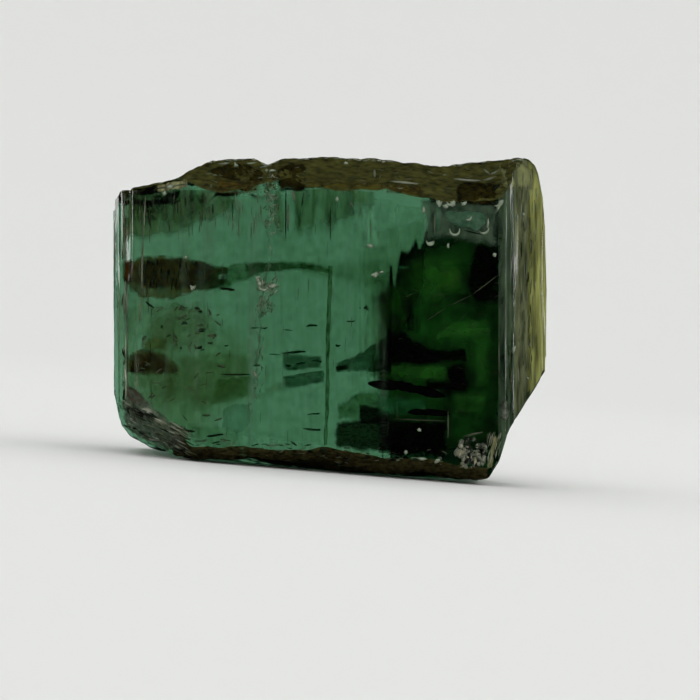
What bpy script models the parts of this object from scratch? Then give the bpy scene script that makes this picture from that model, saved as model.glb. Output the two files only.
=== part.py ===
"""Tourmaline crystal: one length of a ridged green prism, snapped off at both ends.

It stands on its flat broken base. Metres, +Z up; the camera side is -Y.
The prism is drawn in its own upright frame, in millimetres, and then leans with its base flat on the ground.
"""

import math

import bmesh
import bpy
import numpy as np
from mathutils import Vector, noise

# ---------------------------------------------------------------- driving dimensions
MM = 0.001

# Corners of the cross-section (x, y) in mm, seen from above and running anticlockwise from the front left.
FRONT_FACE = [(-8.9, 1.25), (-6.2, 0.35), (0.0, 0.0), (5.5, 0.1), (7.86, 0.45)]
RIGHT_RIB = [(8.25, 1.1), (8.5, 1.75), (9.7, 2.05), (9.97, 2.7), (9.95, 4.2), (9.45, 4.95), (8.4, 5.35),
             (7.8, 6.1)]
BACK_EDGE_BELOW, BACK_EDGE_ABOVE = (2.5, 11.4), (4.8, 11.1)
BACK_FACE = [(-2.0, 11.5), (-8.2, 11.2)]
LEFT_SIDE = [(-9.7, 9.6), (-10.15, 7.2), (-10.24, 4.9), (-9.95, 2.7)]
TURN_FROM, TURN_TO = 9.2, 12.4  # heights between which the back edge moves over
HALF_WIDTH, DEPTH = 10.24, 11.5
CORNER_REACH = 0.45  # how far from a corner its rounding starts, and the most of a side that it takes
OUTLINE_STEP = 0.3  # spacing of the points round the cross-section

# Growth ridges run up the prism: faint on its broad faces, strong on its sides.
RIDGE_PITCH = 0.8
RIDGE_FACES, RIDGE_SIDES = 0.03, 0.2
RIDGE_CREST = 2.2  # how much sharper the crests are than the noise they come from
RIDGE_DRIFT = 14.0  # height over which a ridge fades into its neighbours
SIDES_FROM, SIDES_TO = 0.72, 0.92  # how squarely a place has to face left or right to count as a side

# Top break: its rim seen from the front, and the front edge of the bevel that drops from that rim.
TOP_RIM = [(-10.5, 12.7), (-9.6, 13.35), (-7.0, 13.8), (-6.5, 14.15), (-5.3, 14.8), (-3.5, 14.85),
           (-2.9, 14.5), (-2.2, 14.78), (-0.5, 14.92), (2.5, 14.8), (4.9, 14.53), (7.2, 14.85),
           (8.6, 14.9), (9.05, 14.75), (9.35, 14.5), (9.5, 14.15), (9.62, 13.5), (9.75, 12.9),
           (9.9, 11.6), (10.5, 10.4)]
TOP_EDGE = [(-10.5, 12.6), (-9.0, 13.3), (-6.6, 13.4), (-4.8, 13.25), (-2.0, 13.6), (1.6, 13.4),
            (2.75, 13.2), (5.0, 12.7), (8.0, 12.65), (9.0, 13.6), (10.5, 13.6)]
TOP_BEVEL_SLOPE = 0.72
TOP_BACK_FALL = 0.11  # drop per mm towards the back, behind the rim
TOP_RIDGE_Y = 2.6
RIM_FLAKES = 0.15  # how much of the flakes' depth is left at the rim
FLAKES_GROW = 2.0  # distance behind the rim over which they reach all of it

# Base break: a flat land that slants across the prism, a bevel at its front, and a lost corner on each side.
BASE_AT_MIDDLE = 0.46
BASE_SLANT = -0.0823
BASE_LEFT = [(-10.5, 6.2), (-10.1, 4.4), (-9.9, 3.4), (-9.78, 2.5), (-9.42, 1.98), (-8.9, 1.67),
             (-8.0, 1.12)]
BASE_RIGHT = [(6.7, -0.11), (7.16, 0.2), (7.62, 0.96), (7.93, 1.9), (8.12, 2.4), (8.9, 3.5), (9.58, 4.6),
              (9.85, 5.5), (10.5, 6.6)]
BASE_BEVEL_HEIGHT, BASE_BEVEL_DEPTH = 0.8, 1.1
LAND_Y, LAND_HALF_LENGTH, LAND_HALF_DEPTH = 6.2, 6.0, 3.6  # the oval that stays flat
LAND_EDGE = 3.0  # how quickly the flakes begin outside that oval
CHIP_HEIGHT, CHIP_SLOPE_X, CHIP_SLOPE_Y = -4.43, -0.99, -0.68  # the flake lost at the lower left

PRISM_FOOT, PRISM_TOP = -2.0, 17.0  # the unbroken prism reaches past both breaks
ROW_HEIGHT = 1.3  # spacing of the prism's section rows
BREAK_STEP = 0.5  # spacing of the points on the two breaks
BREAK_MARGIN = 1.2  # how far the breaks reach past the prism
SCALLOP_SIZE, SCALLOP_DEPTH = 3.0, 0.45
SCALLOP_REACH = 0.8  # distance from a flake's middle to its edge, counted in flake sizes
TOP_FLAKES, BASE_FLAKES = 3.0, 8.0  # which part of the flake pattern each break takes

# Place of the prism's own frame when it stands on its base.
LEAN = math.atan(BASE_SLANT)
ORIGIN_X = 0.85
ORIGIN_Y = -5.75

GREEN = (0.05, 0.16, 0.07, 1.0)


# ---------------------------------------------------------------- cross-section
def smooth_step(low, high, value):
    """0 below low, 1 above high, and a smooth rise between them."""
    t = min(1.0, max(0.0, (value - low) / (high - low)))
    return t * t * (3 - 2 * t)


def rounded(corners):
    """The closed outline through the corners, each corner turned into a short curve."""
    corners = [Vector(c) for c in corners]
    path = []
    for i, corner in enumerate(corners):
        before = corners[i - 1] - corner
        after = corners[(i + 1) % len(corners)] - corner
        start = corner + before * min(CORNER_REACH / before.length, CORNER_REACH)
        end = corner + after * min(CORNER_REACH / after.length, CORNER_REACH)
        for t in np.linspace(0, 1, 5):
            path.append(start * (1 - t) ** 2 + corner * (2 * t * (1 - t)) + end * t**2)
    return np.array([tuple(p) for p in path + path[:1]])


def even_places(path, step):
    """Places a step apart along a path, as fractions of the way from one path point to the next."""
    run = np.concatenate([[0], np.cumsum(np.linalg.norm(np.diff(path, axis=0), axis=1))])
    count = round(run[-1] / step)
    return np.interp(np.arange(count) * run[-1] / count, run, np.arange(len(path)))


def at_places(path, places):
    """The points of a path at those places."""
    return np.stack([np.interp(places, np.arange(len(path)), path[:, k]) for k in range(2)], axis=1)


def outward_of(points):
    """The outward direction at each point of a closed outline."""
    along = np.roll(points, -1, axis=0) - np.roll(points, 1, axis=0)
    outward = np.stack([along[:, 1], -along[:, 0]], axis=1)
    return outward / np.linalg.norm(outward, axis=1, keepdims=True)


def ridge(point, outward, height):
    """How far the surface lies inside the outline, so that the ridges' crests keep the size."""
    side = smooth_step(SIDES_FROM, SIDES_TO, abs(outward[0]))
    depth = RIDGE_FACES + (RIDGE_SIDES - RIDGE_FACES) * side
    where = Vector((point[0] / RIDGE_PITCH, point[1] / RIDGE_PITCH, height / RIDGE_DRIFT))
    return -depth * min(1.0, abs(noise.noise(where)) * RIDGE_CREST)


# ---------------------------------------------------------------- broken ends
def scallops(x, y, pattern):
    """Shell-shaped flakes off a break: shallow bowls that meet in sharp ridges, from 0 up to about 1."""
    nearest = noise.voronoi(Vector((x / SCALLOP_SIZE, y / SCALLOP_SIZE, pattern)))[0][0]
    return min(1.0, (nearest / SCALLOP_REACH) ** 2)


def top_break(x, y):
    """Height of the top break: a bevel up from the front edge, then a rough top that falls to the back."""
    rim = np.interp(x, *zip(*TOP_RIM)) - TOP_BACK_FALL * max(0.0, y - TOP_RIDGE_Y)
    bevel = np.interp(x, *zip(*TOP_EDGE)) + TOP_BEVEL_SLOPE * y
    behind_rim = min(1.0, max(0.0, y - TOP_RIDGE_Y) / FLAKES_GROW)
    flakes = SCALLOP_DEPTH * scallops(x, y, TOP_FLAKES)
    share = RIM_FLAKES + (1 - RIM_FLAKES) * behind_rim
    return min(rim - flakes * share, bevel + flakes - SCALLOP_DEPTH / 2)


def left_chip(x, y):
    """Height of the flake lost at the lower left."""
    return CHIP_HEIGHT + CHIP_SLOPE_X * x + CHIP_SLOPE_Y * y


def base_break(x, y):
    """Height of the base break: flat in the middle, bevelled in front, lost corners left and right."""
    land = BASE_AT_MIDDLE + BASE_SLANT * x
    bevel = land + BASE_BEVEL_HEIGHT * (1 - y / BASE_BEVEL_DEPTH)
    on_land = BASE_LEFT[-1][0] < x < BASE_RIGHT[0][0]
    corners = land if on_land else np.interp(x, *zip(*BASE_LEFT, *BASE_RIGHT))
    from_middle = math.hypot(x / LAND_HALF_LENGTH, (y - LAND_Y) / LAND_HALF_DEPTH)
    off_land = min(1.0, max(0.0, from_middle - 1.0) * LAND_EDGE)
    hollow = SCALLOP_DEPTH * scallops(x, y, BASE_FLAKES) * off_land
    return max(land + hollow, bevel + hollow / 2, corners, left_chip(x, y))


# ---------------------------------------------------------------- building
def clear_scene():
    """Removes whatever the file opened with."""
    for obj in list(bpy.data.objects):
        bpy.data.objects.remove(obj)


def collection(name):
    """A new collection in the scene."""
    made = bpy.data.collections.new(name)
    bpy.context.scene.collection.children.link(made)
    return made


def object_from(bm, name, home):
    """A named object that holds the mesh, in the collection home."""
    bmesh.ops.recalc_face_normals(bm, faces=bm.faces)
    mesh = bpy.data.meshes.new(name)
    bm.to_mesh(mesh)
    bm.free()
    made = bpy.data.objects.new(name, mesh)
    home.objects.link(made)
    return made


def ridged_prism(home):
    """The unbroken prism: its outline extruded up and cut into rows, each row with its own outline."""
    below = rounded(FRONT_FACE + RIGHT_RIB + [BACK_EDGE_BELOW] + BACK_FACE + LEFT_SIDE)
    above = rounded(FRONT_FACE + RIGHT_RIB + [BACK_EDGE_ABOVE] + BACK_FACE + LEFT_SIDE)
    places = even_places(below, OUTLINE_STEP)
    low, high = at_places(below, places), at_places(above, places)
    outward = outward_of(low)

    bm = bmesh.new()
    foot = bm.faces.new([bm.verts.new((x, y, 0)) for x, y in low])
    made = bmesh.ops.extrude_face_region(bm, geom=[foot], use_keep_orig=True)["geom"]
    rise = PRISM_TOP - PRISM_FOOT
    for vert in (v for v in made if isinstance(v, bmesh.types.BMVert)):
        vert.co.z = rise
    uprights = [e for e in bm.edges if abs(e.verts[0].co.z - e.verts[1].co.z) > rise / 2]
    bmesh.ops.subdivide_edges(bm, edges=uprights, cuts=round(rise / ROW_HEIGHT) - 1, use_grid_fill=True)

    nearest = {(round(x, 3), round(y, 3)): i for i, (x, y) in enumerate(low)}
    for vert in bm.verts:
        i = nearest[round(vert.co.x, 3), round(vert.co.y, 3)]
        height = PRISM_FOOT + vert.co.z
        point = low[i] + (high[i] - low[i]) * smooth_step(TURN_FROM, TURN_TO, height)
        x, y = point + outward[i] * ridge(point, outward[i], height)
        vert.co = Vector((x, y, height)) * MM
    return object_from(bm, "tourmaline_crystal", home)


def slab_between_breaks(home):
    """The space between the two breaks: a grid on the base break, extruded up to the top break."""
    half = HALF_WIDTH + BREAK_MARGIN
    deep = DEPTH / 2 + BREAK_MARGIN
    bm = bmesh.new()
    bmesh.ops.create_grid(
        bm, x_segments=round(2 * half / BREAK_STEP), y_segments=round(2 * deep / BREAK_STEP), size=1.0
    )
    lower = list(bm.verts)
    made = bmesh.ops.extrude_face_region(bm, geom=list(bm.faces), use_keep_orig=True)["geom"]
    upper = [v for v in made if isinstance(v, bmesh.types.BMVert)]
    for verts, height in ((lower, base_break), (upper, top_break)):
        for vert in verts:
            x, y = vert.co.x * half, vert.co.y * deep + DEPTH / 2
            vert.co = Vector((x, y, height(x, y))) * MM
    slab = object_from(bm, "between_breaks", home)
    slab.hide_render = True
    slab.display_type = "WIRE"
    return slab


def green_crystal():
    """Clear bluish-green crystal."""
    material = bpy.data.materials.new("green_crystal")
    material.use_nodes = True
    shader = material.node_tree.nodes["Principled BSDF"]
    shader.inputs["Base Color"].default_value = GREEN
    shader.inputs["Roughness"].default_value = 0.1
    shader.inputs["Metallic"].default_value = 0.0
    shader.inputs["Transmission Weight"].default_value = 1.0
    shader.inputs["IOR"].default_value = 1.62
    return material


def build():
    """The crystal cut out of the prism, leaning so that its base is flat on the ground."""
    clear_scene()
    parts = collection("tourmaline_crystal")
    cutters = collection("cutters")

    crystal = ridged_prism(parts)
    crystal.data.materials.append(green_crystal())
    slab = slab_between_breaks(cutters)
    breaks = crystal.modifiers.new("breaks", "BOOLEAN")
    breaks.operation = "INTERSECT"
    breaks.object = slab

    axis = bpy.data.objects.new("prism_axis", None)
    parts.objects.link(axis)
    axis.rotation_euler = (0, LEAN, 0)
    axis.location = (ORIGIN_X * MM, ORIGIN_Y * MM, -BASE_AT_MIDDLE * math.cos(LEAN) * MM)
    crystal.parent = axis
    slab.parent = axis


build()
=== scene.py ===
# %% [markdown]
# # A broken tourmaline crystal
#
# The real object is one length of a green tourmaline prism, about 20 mm wide, snapped off at both ends. Its
# colour isn't painted on: light crosses clear crystal and loses red and blue on the way, so thin places
# look pale and long paths look nearly black. The lesson builds the clear body first, then what is sealed in
# it, then what clings to it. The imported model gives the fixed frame, and its box is kept so that the
# finished model can be compared with it.

# %% Load the fixed frame
import math

import bmesh
import bpy
import numpy as np
from mathutils import Matrix, Vector, noise
from mathutils.geometry import delaunay_2d_cdt


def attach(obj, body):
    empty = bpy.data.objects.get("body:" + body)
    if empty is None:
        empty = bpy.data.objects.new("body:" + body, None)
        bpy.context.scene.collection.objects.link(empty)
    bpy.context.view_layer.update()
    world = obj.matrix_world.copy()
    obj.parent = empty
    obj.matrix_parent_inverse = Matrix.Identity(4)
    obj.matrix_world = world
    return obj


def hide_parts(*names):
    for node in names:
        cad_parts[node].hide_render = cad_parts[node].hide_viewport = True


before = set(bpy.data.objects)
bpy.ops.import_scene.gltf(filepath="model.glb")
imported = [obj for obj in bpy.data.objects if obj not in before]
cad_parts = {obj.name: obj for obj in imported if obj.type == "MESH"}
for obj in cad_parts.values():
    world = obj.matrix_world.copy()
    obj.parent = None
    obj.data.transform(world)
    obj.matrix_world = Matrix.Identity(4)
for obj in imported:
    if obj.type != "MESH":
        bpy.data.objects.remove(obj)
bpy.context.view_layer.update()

MM = 0.001

# %% [markdown]
# ## The prism's own frame
#
# A tourmaline prism is easiest to describe standing straight up, in millimetres: x runs along its widest
# side, y goes from the broad front face to the back, and z follows the growth axis. The crystal rests on a
# broken base that cuts the prism at a slant, so the whole frame leans a little. One matrix carries every
# piece from the prism's frame to the world.

# %% Lean the prism's frame onto its base
BASE_AT_MIDDLE = 0.46
BASE_SLANT = -0.0823
LEAN = math.atan(BASE_SLANT)
ORIGIN_X, ORIGIN_Y = 0.85, -5.75
DEPTH = 11.5
HALF_WIDTH = 10.24

to_world = (
    Matrix.Translation(Vector((ORIGIN_X, ORIGIN_Y, -BASE_AT_MIDDLE * math.cos(LEAN))) * MM)
    @ Matrix.Rotation(LEAN, 4, "Y")
    @ Matrix.Scale(MM, 4)
)
print("lean in degrees:", round(math.degrees(LEAN), 2))

# %% [markdown]
# ## The cross-section
#
# Tourmaline often grows with a rounded, three-sided section. This one has a nearly flat front, a rounded
# left side, a flat back, a slanting face at the back right and a small rib at the right. The slanting face
# bends light sideways instead of letting it straight through. The outline could be one drawn curve, but a
# few corners that are rounded by a formula are easier to change.

# %% Draw the cross-section
FRONT_FACE = [(-8.9, 1.25), (-6.2, 0.35), (0.0, 0.0), (5.5, 0.1), (7.86, 0.45)]
RIGHT_RIB = [(8.25, 1.1), (8.5, 1.75), (9.7, 2.05), (9.97, 2.7), (9.95, 4.2), (9.45, 4.95), (8.4, 5.35),
             (7.8, 6.1)]
BACK_EDGE_BELOW, BACK_EDGE_ABOVE = (2.5, 11.4), (4.8, 11.1)
BACK_FACE = [(-2.0, 11.5), (-8.2, 11.2)]
LEFT_SIDE = [(-9.7, 9.6), (-10.15, 7.2), (-10.24, 4.9), (-9.95, 2.7)]
TURN_FROM, TURN_TO = 9.2, 12.4  # heights between which the back edge moves over
CORNER_REACH = 0.45  # how far from a corner its rounding starts, and the most of a side that it takes
CORNER_STEPS = 7
OUTLINE_STEP = 0.055
OUTWARD_REACH = 3  # points on each side that set the outward direction
print("corners of the section:", len(FRONT_FACE + RIGHT_RIB + BACK_FACE + LEFT_SIDE) + 1)


# %% Round the corners and space the points
def smooth_step(low, high, value):
    """0 below low, 1 above high, and a smooth rise between them."""
    t = min(1.0, max(0.0, (value - low) / (high - low)))
    return t * t * (3 - 2 * t)


def rounded(corners):
    """The closed outline through the corners, each corner turned into a short curve."""
    corners = [Vector(c) for c in corners]
    path = []
    for i, corner in enumerate(corners):
        before = corners[i - 1] - corner
        after = corners[(i + 1) % len(corners)] - corner
        start = corner + before * min(CORNER_REACH / before.length, CORNER_REACH)
        end = corner + after * min(CORNER_REACH / after.length, CORNER_REACH)
        for t in np.linspace(0, 1, CORNER_STEPS):
            path.append(start * (1 - t) ** 2 + corner * (2 * t * (1 - t)) + end * t**2)
    return np.array([tuple(p) for p in path + path[:1]])


def even_places(path, step):
    """Places a step apart along a path, as fractions of the way from one path point to the next."""
    run = np.concatenate([[0], np.cumsum(np.linalg.norm(np.diff(path, axis=0), axis=1))])
    count = round(run[-1] / step)
    return np.interp(np.arange(count) * run[-1] / count, run, np.arange(len(path)))


def at_places(path, places):
    """The path's points at those places."""
    return np.stack([np.interp(places, np.arange(len(path)), path[:, k]) for k in range(2)], axis=1)


def outward_of(points, reach):
    """The outward direction at each point of a closed outline."""
    along = np.roll(points, -reach, axis=0) - np.roll(points, reach, axis=0)
    outward = np.stack([along[:, 1], -along[:, 0]], axis=1)
    return outward / np.linalg.norm(outward, axis=1, keepdims=True)


below = rounded(FRONT_FACE + RIGHT_RIB + [BACK_EDGE_BELOW] + BACK_FACE + LEFT_SIDE)
above = rounded(FRONT_FACE + RIGHT_RIB + [BACK_EDGE_ABOVE] + BACK_FACE + LEFT_SIDE)
places = even_places(below, OUTLINE_STEP)
section_below, section_above = at_places(below, places), at_places(above, places)
outward = outward_of(section_below, OUTWARD_REACH)


def section(height, which=slice(None)):
    """The section's points at a height: all of them, or the one asked for."""
    turned = smooth_step(TURN_FROM, TURN_TO, height)
    return section_below[which] * (1 - turned) + section_above[which] * turned


print("points round the section:", len(places))

# %% [markdown]
# ## Growth ridges
#
# Ridges run up every side of the prism, because its faces took turns growing. They could be painted on with
# a bump, but in clear crystal each ridge is a small lens, so they are real geometry here. They are faint on
# the front face, which stays clear to look through, and strong on the sides.

# %% Shape the growth ridges
RIDGE_PITCH = 0.8
RIDGE_FACES, RIDGE_SIDES = 0.03, 0.2
RIDGE_CREST = 2.2  # how much sharper the crests are than the noise they come from
RIDGE_DRIFT = 14.0  # height over which a ridge fades into its neighbours
FINE_PITCH, FINE_DRIFT = 0.16, 7.0
FINE_FACES, FINE_SIDES = 0.002, 0.03
SIDES_FROM, SIDES_TO = 0.72, 0.92  # how squarely a place has to face left or right to count as a side


def ridge(point, outward, height):
    """How far the surface lies inside the outline: broad ridges and fine ones."""
    side = smooth_step(SIDES_FROM, SIDES_TO, abs(outward[0]))
    broad = RIDGE_FACES + (RIDGE_SIDES - RIDGE_FACES) * side
    fine = FINE_FACES + (FINE_SIDES - FINE_FACES) * side
    where = Vector((point[0] / RIDGE_PITCH, point[1] / RIDGE_PITCH, height / RIDGE_DRIFT))
    near = Vector((point[0] / FINE_PITCH, point[1] / FINE_PITCH, height / FINE_DRIFT))
    return -broad * min(1.0, abs(noise.noise(where)) * RIDGE_CREST) - fine * (0.5 + 0.5 * noise.noise(near))


print("depth of the side ridges in mm, broad and fine:", RIDGE_SIDES, FINE_SIDES)


# %% [markdown]
# ## The two breaks
#
# Tourmaline has no cleavage, so it snaps with an uneven surface of shallow shells. Both breaks are heights
# over the section: the top is a bevel that climbs from the front edge to a rim, and the base is flat in the
# middle with a bevel in front and a lost corner on each side.

# %% Shape the breaks
TOP_RIM = [(-10.5, 12.7), (-9.6, 13.35), (-7.0, 13.8), (-6.5, 14.15), (-5.3, 14.8), (-3.5, 14.85),
           (-2.9, 14.5), (-2.2, 14.78), (-0.5, 14.92), (2.5, 14.8), (4.9, 14.53), (7.2, 14.85),
           (8.6, 14.9), (9.05, 14.75), (9.35, 14.5), (9.5, 14.15), (9.62, 13.5), (9.75, 12.9),
           (9.9, 11.6), (10.5, 10.4)]
TOP_EDGE = [(-10.5, 12.6), (-9.0, 13.3), (-6.6, 13.4), (-4.8, 13.25), (-2.0, 13.6), (1.6, 13.4),
            (2.75, 13.2), (5.0, 12.7), (8.0, 12.65), (9.0, 13.6), (10.5, 13.6)]
TOP_BEVEL_SLOPE = 0.72
TOP_BACK_FALL = 0.11  # drop per mm towards the back, behind the rim
TOP_RIDGE_Y = 2.6
RIM_FLAKES = 0.15  # how much of the flakes' depth is left at the rim
FLAKES_GROW = 2.0  # distance behind the rim over which they reach all of it
BASE_LEFT = [(-10.5, 6.2), (-10.1, 4.4), (-9.9, 3.4), (-9.78, 2.5), (-9.42, 1.98), (-8.9, 1.67),
             (-8.0, 1.12)]
BASE_RIGHT = [(6.7, -0.11), (7.16, 0.2), (7.62, 0.96), (7.93, 1.9), (8.12, 2.4), (8.9, 3.5), (9.58, 4.6),
              (9.85, 5.5), (10.5, 6.6)]
BASE_BEVEL_HEIGHT, BASE_BEVEL_DEPTH = 0.8, 1.1
LAND_Y, LAND_HALF_LENGTH, LAND_HALF_DEPTH = 6.2, 6.0, 3.6  # the oval that stays flat
LAND_EDGE = 3.0  # how quickly the flakes begin outside that oval
CHIP_HEIGHT, CHIP_SLOPE_X, CHIP_SLOPE_Y = -4.43, -0.99, -0.68  # the flake lost at the lower left
STEP_HEIGHT, STEP_PITCH, STEP_RUN = 0.14, 0.35, 4.0  # fine steps across that flake
STEP_ALONG_X, STEP_ALONG_Y = 0.45, 0.9
SCALLOP_SIZE, SCALLOP_DEPTH = 3.0, 0.45
SCALLOP_REACH = 0.8  # distance from a flake's middle to its edge, counted in flake sizes
SMALL_SIZE, SMALL_DEPTH = 0.7, 0.1  # the small flakes that lie over the large ones
TOP_FLAKES, BASE_FLAKES = 3.0, 8.0  # which part of the flake pattern each break takes
TOP_SMALL, BASE_SMALL = 5.0, 6.0


def scallops(x, y, seed, size=SCALLOP_SIZE):
    """Shell-shaped flakes: shallow bowls that meet in sharp ridges, from 0 up to about 1."""
    nearest = noise.voronoi(Vector((x / size, y / size, seed)))[0][0]
    return min(1.0, (nearest / SCALLOP_REACH) ** 2)


def top_break(x, y):
    """Height of the top break."""
    rim = np.interp(x, *zip(*TOP_RIM)) - TOP_BACK_FALL * max(0.0, y - TOP_RIDGE_Y)
    bevel = np.interp(x, *zip(*TOP_EDGE)) + TOP_BEVEL_SLOPE * y
    behind_rim = min(1.0, max(0.0, y - TOP_RIDGE_Y) / FLAKES_GROW)
    flakes = SCALLOP_DEPTH * scallops(x, y, TOP_FLAKES)
    chips = SMALL_DEPTH * scallops(x, y, TOP_SMALL, SMALL_SIZE)
    rim_flakes = flakes * (RIM_FLAKES + (1 - RIM_FLAKES) * behind_rim)
    return min(rim - rim_flakes, bevel + flakes - SCALLOP_DEPTH / 2) - chips


def left_chip(x, y):
    """Height of the flake lost at the lower left, with fine steps across it."""
    across = x * STEP_ALONG_X + y * STEP_ALONG_Y
    steps = STEP_HEIGHT * abs(noise.noise(Vector((across / STEP_PITCH, x / STEP_RUN, 1.0))))
    return CHIP_HEIGHT + CHIP_SLOPE_X * x + CHIP_SLOPE_Y * y + steps


def base_break(x, y):
    """Height of the base break."""
    land = BASE_AT_MIDDLE + BASE_SLANT * x
    bevel = land + BASE_BEVEL_HEIGHT * (1 - y / BASE_BEVEL_DEPTH)
    on_land = BASE_LEFT[-1][0] < x < BASE_RIGHT[0][0]
    corners = land if on_land else np.interp(x, *zip(*BASE_LEFT, *BASE_RIGHT))
    from_middle = math.hypot(x / LAND_HALF_LENGTH, (y - LAND_Y) / LAND_HALF_DEPTH)
    off_land = min(1.0, max(0.0, from_middle - 1.0) * LAND_EDGE)
    hollow = SCALLOP_DEPTH * scallops(x, y, BASE_FLAKES) * off_land
    chips = SMALL_DEPTH * scallops(x, y, BASE_SMALL, SMALL_SIZE) * off_land
    return max(land + hollow, bevel + hollow / 2, corners, left_chip(x, y)) + chips


middle_heights = [round(float(height(0.0, LAND_Y)), 2) for height in (base_break, top_break)]
print("heights of the base and the top at the middle in mm:", middle_heights)


# %% [markdown]
# ## The clear body
#
# The side is a loft: each point of the section climbs from the base break to the top break. Each break is
# closed with a fine net of triangles that meets the side point for point, so the body is one closed mesh,
# as glass needs to be.

# %% Make the net that closes a break
NET_STEP = 0.17
NET_ROWS = 0.866  # spacing of the net's rows, counted in steps
NET_GAP = 0.6  # least distance from the net to its loop, counted in steps


def inside(points, loop):
    """Which points lie inside a closed outline."""
    x, y = points[:, 0][:, None], points[:, 1][:, None]
    x1, y1 = loop[:, 0], loop[:, 1]
    x2, y2 = np.roll(x1, -1), np.roll(y1, -1)
    crosses = (y1 > y) != (y2 > y)
    at = x1 + (y - y1) / np.where(y2 == y1, 1e-12, y2 - y1) * (x2 - x1)
    return (np.sum(crosses & (x < at), axis=1) % 2) == 1


def net_inside(loop, step):
    """Evenly spread points inside a loop, kept clear of its edge."""
    xs = np.arange(-HALF_WIDTH, HALF_WIDTH, step)
    ys = np.arange(0, DEPTH, step * NET_ROWS)
    grid = np.array([(x + (j % 2) * step / 2, y) for j, y in enumerate(ys) for x in xs])
    grid = grid[inside(grid, loop)]
    gap = np.min([np.hypot(grid[:, 0] - a, grid[:, 1] - b) for a, b in loop[::2]], axis=0)
    return grid[gap > step * NET_GAP]


def closing_net(loop, height, first, flip):
    """Points and faces that close a loop of side points with a break's height."""
    inner = net_inside(loop, NET_STEP)
    flat = [Vector(p) for p in np.vstack([loop, inner])]
    ring = list(range(len(loop)))
    verts, _, faces, origin, _, _ = delaunay_2d_cdt(flat, [], [ring], 1, 1e-6)
    spots = [(v.x, v.y, height(v.x, v.y)) for v in verts]
    index = [first(o[0]) if o and o[0] < len(loop) else None for o in origin]
    return spots, index, [f[::-1] if flip else f for f in faces]


print("step of the net in mm:", NET_STEP)

# %% Loft the side and close both breaks
ROW_HEIGHT = 0.3
FOOT, HEAD = 1.0, 14.0  # heights near the two breaks, at which the ridges that meet them are taken


def crystal_mesh():
    """The whole body as points and faces in the prism's frame."""
    low = [base_break(*(p + n * ridge(p, n, FOOT))) for p, n in zip(section(FOOT), outward)]
    high = [top_break(*(p + n * ridge(p, n, HEAD))) for p, n in zip(section(HEAD), outward)]
    rows = round(HEAD / ROW_HEIGHT)
    count = len(places)
    points = []
    for t in np.linspace(0, 1, rows + 1):
        for i in range(count):
            z = low[i] + (high[i] - low[i]) * t
            p = section(z, i)
            x, y = p + outward[i] * ridge(p, outward[i], z)
            points.append((x, y, z))
    faces = []
    for r in range(rows):
        for i in range(count):
            j = (i + 1) % count
            faces.append((r * count + i, r * count + j, (r + 1) * count + j, (r + 1) * count + i))
    for row, height, flip in ((0, base_break, True), (rows, top_break, False)):
        start = row * count
        loop = np.array(points[start:start + count])[:, :2]
        spots, index, net = closing_net(loop, height, lambda k, s=start: s + k, flip)
        for k, spot in enumerate(spots):
            if index[k] is None:
                index[k] = len(points)
                points.append(spot)
        faces += [tuple(index[k] for k in face) for face in net]
    return points, faces


def piece(name, points, faces, material):
    """A finished mesh piece from points in the prism's frame."""
    mesh = bpy.data.meshes.new(name)
    mesh.from_pydata([tuple(p) for p in points], [], faces)
    mesh.transform(to_world)
    mesh.validate()
    mesh.materials.append(material)
    made = bpy.data.objects.new(name, mesh)
    bpy.context.scene.collection.objects.link(made)
    return made


print("rows up the side:", round(HEAD / ROW_HEIGHT))

# %% [markdown]
# ## Clear green crystal
#
# The colour comes from a plain volume absorption inside a glassy surface. The absorption is chosen so that
# eleven millimetres of it turn white light blue-green. A very fine grain of upright lines finishes the
# growth faces; at this size it can be bump, because it is finer than anything the outline shows.

# %% Make the helpers for materials
PER_MM = 1000.0


def new_material(name):
    """An empty node material with a Principled shader."""
    material = bpy.data.materials.new(name)
    material.use_nodes = True
    return material, material.node_tree, material.node_tree.nodes["Principled BSDF"]


def plain(shader, **values):
    """Sets plain values on the shader's own sockets; an underscore in a name stands for a space."""
    for name, value in values.items():
        shader.inputs[name.replace("_", " ")].default_value = value


print("helpers made:", new_material.__name__, plain.__name__)


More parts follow.
